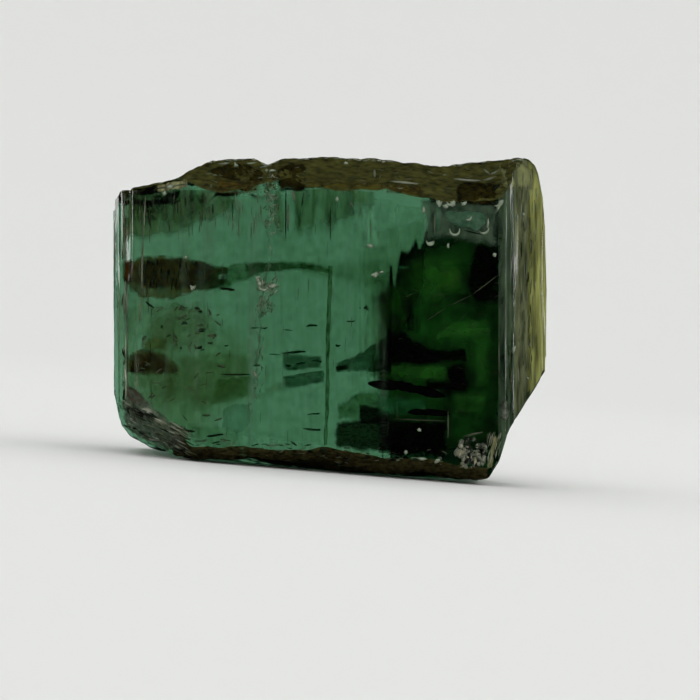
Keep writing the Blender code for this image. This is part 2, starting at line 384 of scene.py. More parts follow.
# %% Build the shared grain
def prism_grain_group():
    """Shader group: a noise in the prism's own frame, stretched along its growth axis."""
    group = bpy.data.node_groups.new("prism_grain", "ShaderNodeTree")
    for name, value in (("Per mm", 1.0), ("Stretch", 1.0), ("Detail", 3.0), ("Shift", 0.0)):
        group.interface.new_socket(name, in_out="INPUT", socket_type="NodeSocketFloat").default_value = value
    group.interface.new_socket("Grain", in_out="OUTPUT", socket_type="NodeSocketFloat")
    nodes, links = group.nodes, group.links
    given, out = nodes.new("NodeGroupInput"), nodes.new("NodeGroupOutput")
    where = nodes.new("ShaderNodeTexCoord")
    upright = nodes.new("ShaderNodeMapping")
    upright.inputs["Rotation"].default_value = (0, -LEAN, 0)
    upright.inputs["Scale"].default_value = (PER_MM, PER_MM, PER_MM)
    squeeze = nodes.new("ShaderNodeMath")
    squeeze.operation = "DIVIDE"
    squeeze.inputs[0].default_value = 1.0
    scales = nodes.new("ShaderNodeCombineXYZ")
    scales.inputs["X"].default_value = scales.inputs["Y"].default_value = 1.0
    stretched = nodes.new("ShaderNodeVectorMath")
    stretched.operation = "MULTIPLY"
    grain = nodes.new("ShaderNodeTexNoise")
    grain.noise_dimensions = "4D"
    links.new(where.outputs["Object"], upright.inputs["Vector"])
    links.new(given.outputs["Stretch"], squeeze.inputs[1])
    links.new(squeeze.outputs[0], scales.inputs["Z"])
    links.new(upright.outputs["Vector"], stretched.inputs[0])
    links.new(scales.outputs["Vector"], stretched.inputs[1])
    links.new(stretched.outputs["Vector"], grain.inputs["Vector"])
    links.new(given.outputs["Per mm"], grain.inputs["Scale"])
    links.new(given.outputs["Detail"], grain.inputs["Detail"])
    links.new(given.outputs["Shift"], grain.inputs["W"])
    links.new(grain.outputs["Fac"], out.inputs["Grain"])
    return group


prism_grain = prism_grain_group()


def grain_node(tree, per_mm, stretch=1.0, detail=3.0, shift=0.0):
    """The grain group, placed in a tree with its own values."""
    node = tree.nodes.new("ShaderNodeGroup")
    node.node_tree = prism_grain
    for name, value in (("Per mm", per_mm), ("Stretch", stretch), ("Detail", detail), ("Shift", shift)):
        node.inputs[name].default_value = value
    return node.outputs["Grain"]


print("group made:", prism_grain.name)


# %% Make the clear material
REFRACTION = 1.62
ABSORB_COLOUR = (0.247, 0.57, 0.385)
ABSORB_DENSITY = 300.0
SHARP_ANGLE = math.radians(28)


def bumped(tree, shader, height, strength, distance):
    """Feeds a height through a bump node to the shader's normal."""
    bump = tree.nodes.new("ShaderNodeBump")
    bump.inputs["Strength"].default_value = strength
    bump.inputs["Distance"].default_value = distance
    tree.links.new(height, bump.inputs["Height"])
    tree.links.new(bump.outputs["Normal"], shader.inputs["Normal"])


def clear_green():
    """Glassy surface round an absorbing inside."""
    material, tree, shader = new_material("clear_green")
    plain(shader, Base_Color=(1, 1, 1, 1), Roughness=0.04, IOR=REFRACTION, Transmission_Weight=1.0)
    bumped(tree, shader, grain_node(tree, per_mm=4.0, stretch=30.0), strength=0.35, distance=0.00003)
    inside_colour = tree.nodes.new("ShaderNodeVolumeAbsorption")
    inside_colour.inputs["Color"].default_value = (*ABSORB_COLOUR, 1)
    inside_colour.inputs["Density"].default_value = ABSORB_DENSITY
    tree.links.new(inside_colour.outputs[0], tree.nodes["Material Output"].inputs["Volume"])
    return material


print("absorption per mm:", ABSORB_DENSITY / PER_MM)

# %% Place the clear body
body = piece("crystal", *crystal_mesh(), clear_green())
body.data.shade_smooth()
body.data.set_sharp_from_angle(angle=SHARP_ANGLE)
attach(body, "root")
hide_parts("tourmaline_crystal")
print("crystal triangles:", sum(len(p.vertices) - 2 for p in body.data.polygons))

# %% [markdown]
# ## Films sealed in the crystal
#
# Inside a real tourmaline are healed cracks. Each is a thin, slightly wavy film that slants through the
# stone, and what has seeped into it gives it its colour: iron stain makes it brown, trapped fluid makes it
# dark or milky. A film here is a ruled sheet between an upper and a lower edge, given as (x, z) points,
# with a depth for each edge. It is held inside the stone, and a value at each point says how far it is from
# the film's own rim.

# %% Find the walls of the stone
FILM_MARGIN = 0.12  # least distance from a film to the front or the back
SIDE_GAP = 0.12
DEPTH_STEP = 0.05
COLUMNS = 401
FRONT_STEP = 4
FRONT_FACING, LEAST_FACING = -0.05, 0.4  # how squarely a place has to face the front

columns = np.linspace(-HALF_WIDTH, HALF_WIDTH, COLUMNS + 2)[1:-1]


def walls_of(outline):
    """Depth of the front and of the back of the section at each column."""
    x, y = outline[:, 0], outline[:, 1]
    x2, y2 = np.roll(x, -1), np.roll(y, -1)
    front, back = [], []
    for c in columns:
        cut = (x > c) != (x2 > c)
        at = y[cut] + (c - x[cut]) / (x2[cut] - x[cut]) * (y2[cut] - y[cut])
        front.append(at.min() if len(at) else DEPTH / 2)
        back.append(at.max() if len(at) else DEPTH / 2)
    return np.array(front), np.array(back)


front_below, back_below = walls_of(section_below)
_, back_above = walls_of(section_above)
front_run = [i for i in range(0, len(section_below), FRONT_STEP) if outward[i][1] < FRONT_FACING]


def sides_at(y, outline):
    """Leftmost and rightmost x of a section at a depth."""
    x, y1 = outline[:, 0], outline[:, 1]
    x2, y2 = np.roll(x, -1), np.roll(y1, -1)
    cut = (y1 > y) != (y2 > y)
    if not cut.any():
        return 0.0, 0.0
    at = x[cut] + (y - y1[cut]) / (y2[cut] - y1[cut]) * (x2[cut] - x[cut])
    return at.min(), at.max()


def within_sides(x, y, outline):
    """The nearest x that stays inside the stone at a depth."""
    left, right = sides_at(y, outline)
    return min(max(x, left + SIDE_GAP), right - SIDE_GAP)


def front_at(x):
    """Depth of the crystal's front at x."""
    return float(np.interp(x, columns, front_below))


def held_inside(x, y, z):
    """The same point, moved in depth where it would come too close to the front or the back."""
    turned = smooth_step(TURN_FROM, TURN_TO, z)
    back = np.interp(x, columns, back_below) * (1 - turned) + np.interp(x, columns, back_above) * turned
    return x, min(max(y, front_at(x) + FILM_MARGIN), back - FILM_MARGIN), z


def surface_depth(x, z):
    """Depth of the first stone met at (x, z), looking in from the front."""
    y = front_at(x)
    while y < DEPTH and not base_break(x, y) < z < top_break(x, y):
        y += DEPTH_STEP
    at = min(range(len(front_run)), key=lambda k: abs(section_below[front_run[k], 0] - x))
    i = front_run[at]
    return y - ridge(section_below[i], outward[i], z) / max(LEAST_FACING, abs(outward[i][1]))


print("front edge at the middle in mm:", round(front_at(0.0), 2))


# %% Work along a line of points
def walk(curve, share):
    """The point a share of the way along a line of points."""
    curve = np.array(curve, float)
    run = np.concatenate([[0], np.cumsum(np.linalg.norm(np.diff(curve, axis=0), axis=1))])
    return [float(np.interp(share * run[-1], run, curve[:, k])) for k in range(2)]


def run_length(curve):
    """Length of a line of points."""
    return float(np.sum(np.linalg.norm(np.diff(np.array(curve, float), axis=0), axis=1)))


def sheet_faces(across, down):
    """Faces of a grid that is across + 1 points wide."""
    wide = across + 1
    return [(r * wide + c, r * wide + c + 1, (r + 1) * wide + c + 1, (r + 1) * wide + c)
            for r in range(down) for c in range(across)]


def mark(made, name, values):
    """Stores a value at each point of a piece, for its material to read."""
    layer = made.data.attributes.new(name, "FLOAT", "POINT")
    layer.data.foreach_set("value", [float(v) for v in values])


def sealed(made):
    """What every piece in or on the crystal needs."""
    made.data.shade_smooth()
    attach(made, "root")
    return made


print("length of a line from (0, 0) to (3, 4):", run_length([(0, 0), (3, 4)]))

# %% Make one film
FILM_STEP = 0.14
RIM_WIDTH = 0.4
RIM_SHARE = 0.3  # most of a film's height that its faded rim takes
HANG_FADE = 2.4
SKIN_INSET = 0.05
SWAY_PITCH = 1.3
HEIGHT_SHARES = np.linspace(0.1, 0.9, 9)  # where along a film its height is measured


def film(name, top, low, depths, material, ripple=0.12, hang=False, fade=RIM_WIDTH):
    """A wavy sheet between an upper and a lower edge of (x, z) points; without depths it follows the surface.

    A hanging film frays all the way down, and any other only at its rim, over the width of its fade.
    """
    long = (run_length(top) + run_length(low)) / 2
    tall = np.mean([math.dist(walk(top, s), walk(low, s)) for s in HEIGHT_SHARES])
    across, down = max(3, round(long / FILM_STEP)), max(3, round(tall / FILM_STEP))
    points, rim = [], []
    for r in range(down + 1):
        for c in range(across + 1):
            s, t = c / across, r / down
            (x1, z1), (x2, z2) = walk(top, s), walk(low, s)
            x, z = x1 + (x2 - x1) * t, z1 + (z2 - z1) * t
            if depths is None:
                points.append((x, surface_depth(x, z) + SKIN_INSET, z))
            else:
                sway = ripple * noise.noise(Vector((x * SWAY_PITCH, len(name), z * SWAY_PITCH)))
                points.append(held_inside(x, depths[0] + (depths[1] - depths[0]) * t + sway, z))
            side_gap, end_gap = min(s, 1 - s) * long, min(t, 1 - t) * math.dist((x1, z1), (x2, z2))
            whole = min(1.0, min(side_gap, end_gap) / min(fade, RIM_SHARE * tall))
            rim.append(min(1.0, HANG_FADE * (1 - t), side_gap / RIM_WIDTH) if hang else whole)
    made = piece(name, points, sheet_faces(across, down), material)
    mark(made, "rim", rim)
    return sealed(made)


print("step of a film in mm:", FILM_STEP)

# %% [markdown]
# ## What a film lets through
#
# All films share one pattern: patchy, ragged at the rim and drawn out along the growth axis. It is a node
# group, so that each finish only sets its numbers. A stain works like stained glass: it takes colour from
# the light that goes through, so its shader transmits and doesn't bend light. A milky film scatters light
# instead.

# %% Build the film pattern
RIM_PULL = 0.5  # how much solider a film is inside than at its rim
RIM_TONE = 0.4  # share of its light colour that a film keeps at its rim
STREAK_FINENESS, STREAK_STRETCH = 3.0, 14.0
STREAKS_FROM, STREAKS_TO = 0.35, 0.65
PATCH_DETAIL, STREAK_DETAIL, MOTTLE_DETAIL = 5.0, 2.0, 6.0
STREAK_SHIFT, MOTTLE_SHIFT = 3.0, 7.0


def film_pattern_group():
    """Shader group: where a film is solid, and how its colour varies."""
    group = bpy.data.node_groups.new("film_pattern", "ShaderNodeTree")
    for name, value in (("Per mm", 2.0), ("Stretch", 2.0), ("Cover", 0.7), ("Softness", 0.06),
                        ("Streaks", 0.0), ("Density", 1.0), ("Shift", 0.0), ("Fine", 5.0), ("Run", 3.0),
                        ("Spread", 0.11)):
        group.interface.new_socket(name, in_out="INPUT", socket_type="NodeSocketFloat").default_value = value
    for name in ("Mask", "Mottle"):
        group.interface.new_socket(name, in_out="OUTPUT", socket_type="NodeSocketFloat")
    nodes, links = group.nodes, group.links
    given, out = nodes.new("NodeGroupInput"), nodes.new("NodeGroupOutput")

    def feed(sockets, values):
        """Gives each socket its value, or a link where the value is a socket."""
        for socket, value in zip(sockets, values):
            if isinstance(value, bpy.types.NodeSocket):
                links.new(value, socket)
            else:
                socket.default_value = value

    def math_node(operation, *values):
        """The result of a math node."""
        node = nodes.new("ShaderNodeMath")
        node.operation = operation
        feed(node.inputs, values)
        return node.outputs[0]

    def grain(per_mm, stretch, shift, detail):
        """The shared grain, fed with values or sockets."""
        node = nodes.new("ShaderNodeGroup")
        node.node_tree = prism_grain
        feed(node.inputs, (per_mm, stretch, detail, shift))
        return node.outputs["Grain"]

    patches = grain(given.outputs["Per mm"], given.outputs["Stretch"], given.outputs["Shift"], PATCH_DETAIL)
    rim = nodes.new("ShaderNodeAttribute")
    rim.attribute_name = "rim"
    body_of_film = math_node("MULTIPLY_ADD", rim.outputs["Fac"], RIM_PULL, patches)
    edge = nodes.new("ShaderNodeMapRange")
    edge.interpolation_type = "SMOOTHSTEP"
    links.new(body_of_film, edge.inputs["Value"])
    cover, softness, spread = (given.outputs[socket] for socket in ("Cover", "Softness", "Spread"))
    links.new(math_node("SUBTRACT", cover, softness), edge.inputs["From Min"])
    links.new(math_node("ADD", cover, softness), edge.inputs["From Max"])
    thin = math_node("MULTIPLY", given.outputs["Per mm"], STREAK_FINENESS)
    lines = nodes.new("ShaderNodeMapRange")
    links.new(grain(thin, STREAK_STRETCH, STREAK_SHIFT, STREAK_DETAIL), lines.inputs["Value"])
    lines.inputs["From Min"].default_value = STREAKS_FROM
    lines.inputs["From Max"].default_value = STREAKS_TO
    streaks = math_node("MULTIPLY", lines.outputs["Result"], given.outputs["Streaks"])
    kept = math_node("SUBTRACT", 1.0, streaks)
    solid = math_node("MULTIPLY", edge.outputs["Result"], given.outputs["Density"])
    links.new(math_node("MULTIPLY", solid, kept), out.inputs["Mask"])
    mottle = nodes.new("ShaderNodeMapRange")
    spots = grain(given.outputs["Fine"], given.outputs["Run"], MOTTLE_SHIFT, MOTTLE_DETAIL)
    links.new(spots, mottle.inputs["Value"])
    links.new(math_node("SUBTRACT", 0.5, spread), mottle.inputs["From Min"])
    links.new(math_node("ADD", 0.5, spread), mottle.inputs["From Max"])
    dark_edge = math_node("MULTIPLY_ADD", rim.outputs["Fac"], 1 - RIM_TONE, RIM_TONE)
    links.new(math_node("MULTIPLY", mottle.outputs["Result"], dark_edge), out.inputs["Mottle"])
    return group


film_pattern = film_pattern_group()
print("group made:", film_pattern.name)


# %% Mix the film finishes
def film_finish(name, dark, light, passes=1.0, **pattern):
    """A film that tints light (passes 1), scatters it (passes 0), or does some of both."""
    material, tree, shader = new_material(name)
    plain(shader, Roughness=0.6, IOR=1.0, Transmission_Weight=passes)
    node = tree.nodes.new("ShaderNodeGroup")
    node.node_tree = film_pattern
    for socket, value in pattern.items():
        node.inputs[socket.replace("_", " ")].default_value = value
    tint = tree.nodes.new("ShaderNodeMix")
    tint.data_type = "RGBA"
    tint.inputs["A"].default_value, tint.inputs["B"].default_value = (*dark, 1), (*light, 1)
    tree.links.new(node.outputs["Mottle"], tint.inputs["Factor"])
    tree.links.new(tint.outputs["Result"], shader.inputs["Base Color"])
    tree.links.new(node.outputs["Mask"], shader.inputs["Alpha"])
    return material


iron_stain = film_finish("iron_stain", (0.006, 0.002, 0.0003), (0.26, 0.06, 0.006), 0.96,
                         Per_mm=1.5, Stretch=1.6, Cover=0.58, Softness=0.16, Streaks=0.25,
                         Fine=3.2, Run=4.0, Spread=0.2)
olive_stain = film_finish("olive_stain", (0.14, 0.13, 0.045), (0.72, 0.6, 0.38), 0.97,
                          Per_mm=1.2, Stretch=1.5, Cover=0.8, Softness=0.28, Streaks=0.3, Density=0.85,
                          Fine=4.5, Run=1.2, Spread=0.2)
olive_brown = film_finish("olive_brown", (0.14, 0.08, 0.012), (0.5, 0.33, 0.09), 0.97,
                          Per_mm=2.0, Cover=0.74, Softness=0.22, Density=0.9)
block_green = film_finish("block_green", (0.13, 0.2, 0.08), (0.42, 0.52, 0.26), 1.0,
                          Per_mm=1.5, Stretch=0.6, Cover=0.7, Softness=0.24, Run=0.6)
block_haze = film_finish("block_haze", (0.38, 0.42, 0.22), (0.8, 0.82, 0.55), 1.0, Per_mm=1.2, Stretch=0.8,
                         Cover=0.66, Softness=0.22, Streaks=0.2, Fine=3.0, Spread=0.2)
dark_green = film_finish("dark_green", (0.01, 0.035, 0.008), (0.12, 0.24, 0.09), 1.0,
                         Per_mm=1.6, Stretch=1.0, Cover=0.74, Softness=0.2, Streaks=0.15, Fine=4.0, Run=0.8,
                         Spread=0.16)
deep_green = film_finish("deep_green", (0.003, 0.016, 0.006), (0.04, 0.11, 0.06), 1.0,
                         Per_mm=2.0, Stretch=0.6, Cover=0.54, Softness=0.16, Streaks=0.15, Fine=4.0, Run=0.8,
                         Spread=0.16)
# This finish is the black of a crack segment in the lower band, and painted shade on the dark side.
black_crack_and_painted_shade = film_finish("black_crack_and_painted_shade", (0.0002, 0.001, 0.0002), (0.005, 0.012, 0.004), 1.0,
                          Per_mm=1.1, Stretch=0.8, Cover=0.68, Softness=0.17, Run=0.5)
# The dark wash is painted shade: the darkness where the slanting back face turns the light aside.
dark_wash = film_finish("dark_wash", (0.01, 0.045, 0.01), (0.08, 0.34, 0.06), 0.0,
                        Per_mm=0.7, Stretch=1.3, Cover=0.6, Softness=0.22, Fine=0.7, Run=1.2, Spread=0.16)
# A softer painted shade for the dark side.
soft_painted_shade = film_finish("soft_painted_shade", (0.001, 0.004, 0.001), (0.05, 0.12, 0.04), 1.0,
                         Per_mm=1.0, Stretch=1.5, Cover=0.84, Softness=0.2, Density=0.85)
# The next three finishes are painted light: green and teal patches where some light gets through the dark
# side.
green_painted_light = film_finish("green_painted_light", (0.03, 0.15, 0.02), (0.13, 0.52, 0.07), 0.0, Per_mm=0.6,
                            Stretch=1.0, Cover=0.86, Softness=0.34, Density=0.75, Fine=0.9, Run=1.0,
                            Spread=0.18)
bright_painted_light = film_finish("bright_painted_light", (0.05, 0.2, 0.02), (0.14, 0.4, 0.05), 0.0,
                           Per_mm=0.8, Stretch=1.0, Cover=0.9, Softness=0.36, Density=0.6, Fine=1.0)
teal_painted_light = film_finish("teal_painted_light", (0.02, 0.15, 0.045), (0.07, 0.38, 0.14), 0.0,
                        Per_mm=0.8, Stretch=1.0, Cover=0.8, Softness=0.3, Density=0.75, Fine=2.0, Run=1.0)
shell_tint = film_finish("shell_tint", (0.35, 0.45, 0.42), (0.72, 0.8, 0.76), 1.0,
                         Per_mm=1.5, Stretch=1.0, Cover=0.6, Softness=0.06, Fine=3.0, Spread=0.2)
milky = film_finish("milky", (0.12, 0.2, 0.11), (0.5, 0.62, 0.42), 0.0,
                    Per_mm=3.5, Stretch=1.5, Cover=0.84, Softness=0.14, Density=0.55)
frost = film_finish("frost", (0.08, 0.19, 0.11), (0.22, 0.42, 0.27), 0.0, Per_mm=1.8, Stretch=0.8,
                    Cover=0.74, Softness=0.12, Density=0.85, Fine=3.5, Run=1.0, Spread=0.2)
curtain = film_finish("curtain", (0.01, 0.02, 0.005), (0.3, 0.32, 0.13), 1.0,
                      Per_mm=1.8, Stretch=5.0, Cover=0.8, Softness=0.2, Streaks=0.35, Density=0.95,
                      Fine=5.0, Run=6.0, Spread=0.14)
olive_haze = film_finish("olive_haze", (0.42, 0.4, 0.2), (0.85, 0.8, 0.62), 1.0,
                         Per_mm=0.8, Stretch=1.4, Cover=0.66, Softness=0.3, Streaks=0.25, Density=0.85,
                         Fine=4.0, Run=1.6, Spread=0.2)
green_haze = film_finish("green_haze", (0.08, 0.16, 0.06), (0.5, 0.62, 0.42), 1.0,
                         Per_mm=0.9, Stretch=3.0, Cover=0.72, Softness=0.3, Streaks=0.3, Density=0.9,
                         Fine=2.5, Run=4.0, Spread=0.2)
# This finish makes the upper left darker under the ledge of the top break.
ledge_darkening = film_finish("ledge_darkening", (0.02, 0.024, 0.005), (0.36, 0.27, 0.1), 1.0,
                          Per_mm=1.1, Stretch=2.0, Cover=0.68, Softness=0.25, Streaks=0.3, Density=0.92,
                          Fine=3.5, Run=3.0, Spread=0.18)
frost_haze = film_finish("frost_haze", (0.07, 0.13, 0.08), (0.28, 0.4, 0.27), 0.0,
                         Per_mm=1.4, Stretch=1.4, Cover=0.72, Softness=0.25, Density=0.8,
                         Fine=3.0, Run=1.5, Spread=0.2)
face_grain = film_finish("face_grain", (0.6, 0.7, 0.6), (1.0, 1.0, 1.0), 1.0,
                         Per_mm=0.7, Stretch=2.0, Cover=0.56, Softness=0.3, Streaks=0.3, Density=0.9,
                         Fine=3.5, Run=4.0, Spread=0.2)
veil = film_finish("veil", (0.4, 0.5, 0.36), (0.95, 0.97, 0.95), 1.0,
                   Per_mm=0.45, Stretch=2.2, Cover=0.6, Softness=0.3, Streaks=0.4, Density=0.9)
bright_streaks = film_finish("bright_streaks", (0.16, 0.42, 0.24), (0.36, 0.9, 0.52), 0.0,
                             Per_mm=2.2, Stretch=9.0, Cover=0.94, Softness=0.16, Streaks=0.5, Density=0.75)
print("film finishes:", [m.name for m in bpy.data.materials])

# %% [markdown]
# ## The stained cracks on the left
#
# A wavy band of stain crosses the upper left, brown where it is thick and green where it thins out. A
# second brown patch and a blocky olive film lie under it. Dark streaky curtains hang down from the top
# break. Each patch is a film of its own, because one sheet can't lie at several depths.

# %% Place the stained films
film("upper_stain", [(-9.5, 10.1), (-8.4, 10.3), (-6.9, 10.3), (-5.6, 10.0), (-4.6, 9.7)],
     [(-9.5, 9.2), (-9.1, 8.8), (-8.5, 8.3), (-7.5, 8.2), (-6.5, 8.4), (-5.2, 8.8), (-4.6, 9.0)],
     (1.0, 2.2), iron_stain)
film("stain_core", [(-9.3, 10.0), (-8.2, 10.1), (-6.6, 10.2), (-5.2, 9.8)],
     [(-9.2, 9.3), (-8.2, 8.8), (-6.6, 8.8), (-5.2, 9.0)], (2.6, 3.2), iron_stain)
film("stain_tail", [(-6.2, 10.1), (-5.0, 9.9), (-3.2, 10.1), (-1.2, 10.0), (0.1, 9.8)],
     [(-6.2, 8.7), (-5.0, 8.6), (-4.3, 8.9), (-3.0, 9.4), (-1.2, 9.6), (0.1, 9.3)], (1.2, 2.0), dark_green)
film("tail_core", [(-3.9, 10.0), (-2.4, 10.1), (-0.6, 10.0)], [(-3.9, 9.4), (-2.4, 9.6), (-0.6, 9.6)],
     (2.2, 2.6), dark_green, fade=0.3)
film("tail_haze", [(-1.5, 10.2), (0.5, 10.1), (3.2, 10.3)], [(-1.5, 9.5), (0.5, 9.0), (3.2, 8.6)],
     (2.4, 2.8), green_haze, 0.2, fade=0.7)
film("upper_glow", [(-5.1, 9.5), (-4.6, 9.5)], [(-5.2, 9.1), (-4.6, 9.1)], (0.3, 0.4), bright_streaks, 0.02)
film("mottled_stain", [(-8.4, 8.2), (-7.0, 8.4), (-5.8, 8.2), (-4.9, 7.3)],
     [(-8.4, 6.1), (-7.0, 5.9), (-5.8, 5.8), (-4.9, 6.2)], (1.6, 3.0), olive_stain, fade=1.0)
film("olive_cap", [(-8.5, 6.5), (-7.9, 6.7), (-7.3, 6.6)], [(-8.5, 6.0), (-7.3, 5.9)], (1.2, 1.4),
     olive_brown)
film("middle_stain", [(-9.0, 5.9), (-8.4, 6.1), (-7.5, 6.0), (-6.7, 5.2)],
     [(-9.0, 4.9), (-8.0, 4.8), (-6.7, 4.8)], (1.4, 2.2), iron_stain)
film("middle_core", [(-8.9, 5.8), (-7.9, 5.9), (-7.2, 5.5)], [(-8.9, 5.0), (-7.2, 4.9)], (2.6, 3.0),
     iron_stain)
film("left_mottle", [(-9.4, 8.3), (-7.8, 8.2), (-6.0, 7.6)], [(-9.2, 3.4), (-7.6, 2.8), (-6.0, 3.2)],
     (1.0, 1.4), olive_stain, fade=1.5)
film("olive_block", [(-7.7, 5.4), (-6.7, 5.9), (-5.5, 6.1), (-4.1, 6.1), (-3.4, 5.8)],
     [(-7.7, 3.9), (-7.0, 3.1), (-5.4, 3.2), (-4.7, 3.6), (-3.4, 3.8)], (2.6, 4.2), olive_stain, fade=0.8)
film("block_core", [(-6.8, 5.8), (-5.2, 6.1), (-3.9, 6.0), (-3.5, 5.6)],
     [(-6.2, 3.5), (-4.8, 3.6), (-3.6, 3.9)], (3.2, 3.6), block_haze, fade=0.5)
film("block_shade", [(-5.2, 4.8), (-3.5, 4.9)], [(-5.6, 3.4), (-4.8, 3.6), (-3.5, 3.8)], (2.2, 2.6),
     block_green, fade=0.7)
film("shell_shade", [(-4.9, 3.3), (-4.2, 3.6), (-3.5, 3.7)], [(-4.9, 2.4), (-4.1, 2.2), (-3.6, 2.6)],
     (1.0, 1.4), shell_tint, 0.05, fade=0.6)
film("left_haze", [(-9.4, 8.6), (-6.5, 8.5), (-5.0, 7.8), (-3.3, 6.2)],
     [(-9.0, 3.0), (-6.5, 2.0), (-3.6, 3.4)], (4.6, 5.0), olive_haze, 0.4, fade=1.6)
film("low_haze", [(-8.8, 5.0), (-6.5, 5.2), (-5.2, 3.4)], [(-7.6, 2.6), (-6.2, 2.0), (-5.0, 2.1)],
     (3.6, 4.0), olive_haze, 0.4, fade=1.2)
film("ledge_haze", [(-9.6, 13.3), (-4.2, 13.4)], [(-9.6, 10.9), (-7.0, 11.1), (-5.4, 11.8), (-4.2, 12.4)],
     (0.5, 1.2), ledge_darkening, 0.2, fade=0.5)
film("foot_haze", [(-6.4, 2.7), (-5.2, 2.6), (-4.0, 2.5)], [(-6.4, 1.5), (-4.0, 1.5)], (1.2, 1.6),
     green_haze, fade=0.5)
film("wide_veil", [(-9.4, 12.9), (0.0, 13.1), (4.2, 12.6)], [(-8.6, 1.6), (0.0, 1.0), (4.2, 0.9)],
     (5.5, 5.5), veil, 0.6)
film("face_grain", [(-9.2, 12.9), (0.0, 13.1), (3.0, 12.8)], [(-8.6, 2.6), (0.0, 1.6), (2.6, 1.8)],
     (2.0, 2.4), face_grain, 0.3)

# %% Hang the curtains and streaks
film("left_curtain", [(-9.6, 13.1), (-8.0, 13.3), (-5.3, 13.2)], [(-9.6, 11.4), (-6.8, 11.3), (-5.3, 12.2)],
     (0.6, 0.7), curtain, 0.05, hang=True)
film("middle_curtain", [(-4.8, 13.1), (-4.0, 13.1)], [(-4.8, 11.7), (-4.0, 11.9)], (0.6, 0.7), curtain, 0.05,
     hang=True)
film("crack_curtain", [(-2.9, 13.2), (-2.0, 13.2)], [(-2.9, 11.0), (-1.9, 10.7)], (0.6, 0.9), curtain, 0.05,
     hang=True)
film("wide_curtain", [(-1.9, 13.2), (0.0, 13.3), (2.2, 13.1)], [(-1.9, 10.8), (-0.2, 11.0), (2.2, 12.2)],
     (0.6, 0.7), curtain, 0.05, hang=True)
film("bright_block", [(-3.7, 12.7), (-3.2, 12.7)], [(-3.7, 11.6), (-3.2, 11.6)], (0.3, 0.3), bright_streaks,
     0.02)
film("left_streaks", [(-4.9, 12.9), (-3.8, 12.9)], [(-4.9, 10.6), (-3.8, 10.8)], (0.4, 0.5), bright_streaks,
     0.02)
film("right_streaks", [(0.6, 13.0), (3.4, 12.7)], [(0.8, 10.2), (3.5, 10.4)], (0.4, 0.5), bright_streaks,
     0.02)

# %% Place the lower crack, in its separate lengths
film("band_left", [(-3.3, 3.9), (-2.9, 4.3), (-2.0, 4.7)], [(-3.3, 3.7), (-2.8, 3.9), (-2.0, 4.1)],
     (3.0, 3.8), olive_stain, 0.05)
film("band_dark", [(-2.1, 4.8), (-1.2, 4.95), (-0.2, 5.1)], [(-2.1, 4.2), (-1.2, 4.35), (-0.2, 4.55)],
     (2.2, 2.6), deep_green, 0.05, fade=0.15)
film("band_block", [(0.2, 5.3), (0.8, 5.4)], [(0.2, 5.0), (0.8, 5.1)], (2.4, 2.9), black_crack_and_painted_shade, 0.05)
film("shell_green", [(0.2, 5.4), (1.2, 5.8), (2.0, 6.3), (2.7, 6.6)], [(0.2, 5.0), (1.4, 5.0), (2.7, 5.0)],
     (1.2, 1.6), deep_green, 0.05)
film("lower_smear", [(-2.1, 5.9), (-1.2, 5.8), (-0.4, 5.7)], [(-2.1, 5.0), (-0.4, 5.2)], (2.8, 3.2),
     deep_green, 0.05, fade=0.25)

# %% [markdown]
# ## The dark side
#
# Where the back slants away, the stone looks nearly black, because the slanting face turns the light aside.
# That shade is painted here. It could be painted on the back face, but from the side it would look like
# paint. So one wide dark film of painted shade lies deepest, and smaller films in front of it make it patchy:
# black painted shade where they swallow the light and leaf-green painted light where they send some of it
# back.

# %% Place the painted shade and painted light on the dark side
# The dark films here are painted shade, and the green windows and the teal patch are painted light.
film("dark_wash", [(2.0, 8.4), (3.3, 9.8), (4.4, 10.9), (6.2, 11.4), (7.9, 11.4)],
     [(2.1, 1.3), (4.5, 1.1), (7.9, 1.2)], (2.9, 3.3), dark_wash, 0.2, fade=0.9)
film("black_upper", [(6.2, 10.5), (6.7, 11.0), (7.2, 10.6), (7.6, 9.7)], [(6.1, 8.7), (6.5, 8.1), (7.6, 8.0)],
     (1.2, 2.0), black_crack_and_painted_shade, fade=0.9)
film("black_left", [(3.3, 9.2), (4.0, 9.2)], [(3.3, 6.8), (4.1, 6.5)], (2.0, 2.8), soft_painted_shade)
film("black_middle", [(2.5, 6.9), (3.3, 6.9), (4.2, 6.2), (6.1, 6.1)], [(2.5, 5.0), (3.3, 5.3), (6.1, 5.4)],
     (2.2, 2.6), black_crack_and_painted_shade, fade=0.6)
film("black_mid_right", [(4.3, 5.0), (5.6, 5.4), (6.1, 5.4)], [(4.3, 4.1), (6.1, 4.1)], (2.2, 2.6),
     black_crack_and_painted_shade)
film("black_low", [(0.1, 2.9), (2.0, 3.0), (5.3, 2.8)], [(0.1, 1.5), (2.0, 1.3), (5.3, 1.0)],
     (1.6, 2.0), black_crack_and_painted_shade)
film("black_notch", [(1.3, 3.6), (2.5, 3.4)], [(1.2, 2.6), (2.6, 2.6)], (1.4, 1.6), black_crack_and_painted_shade, fade=0.25)
film("notch_shade", [(0.3, 3.6), (1.3, 4.3), (2.6, 4.5)], [(0.2, 2.6), (2.6, 2.6)], (2.2, 2.6), dark_green,
     fade=0.6)
film("edge_shade", [(1.8, 9.3), (2.8, 9.6)], [(1.9, 4.9), (2.8, 4.9)], (0.7, 0.9), green_haze, 0.1)
film("edge_haze", [(1.3, 11.2), (3.0, 11.8), (4.4, 12.2)], [(1.4, 4.8), (2.4, 4.6), (4.2, 9.0)],
     (1.2, 1.8), green_haze, 0.2)
film("shoulder_haze", [(3.9, 12.9), (5.6, 12.85), (7.7, 12.8)], [(4.2, 10.8), (5.6, 10.9), (7.6, 10.6)],
     (0.45, 0.7), frost_haze, 0.1, fade=0.4)
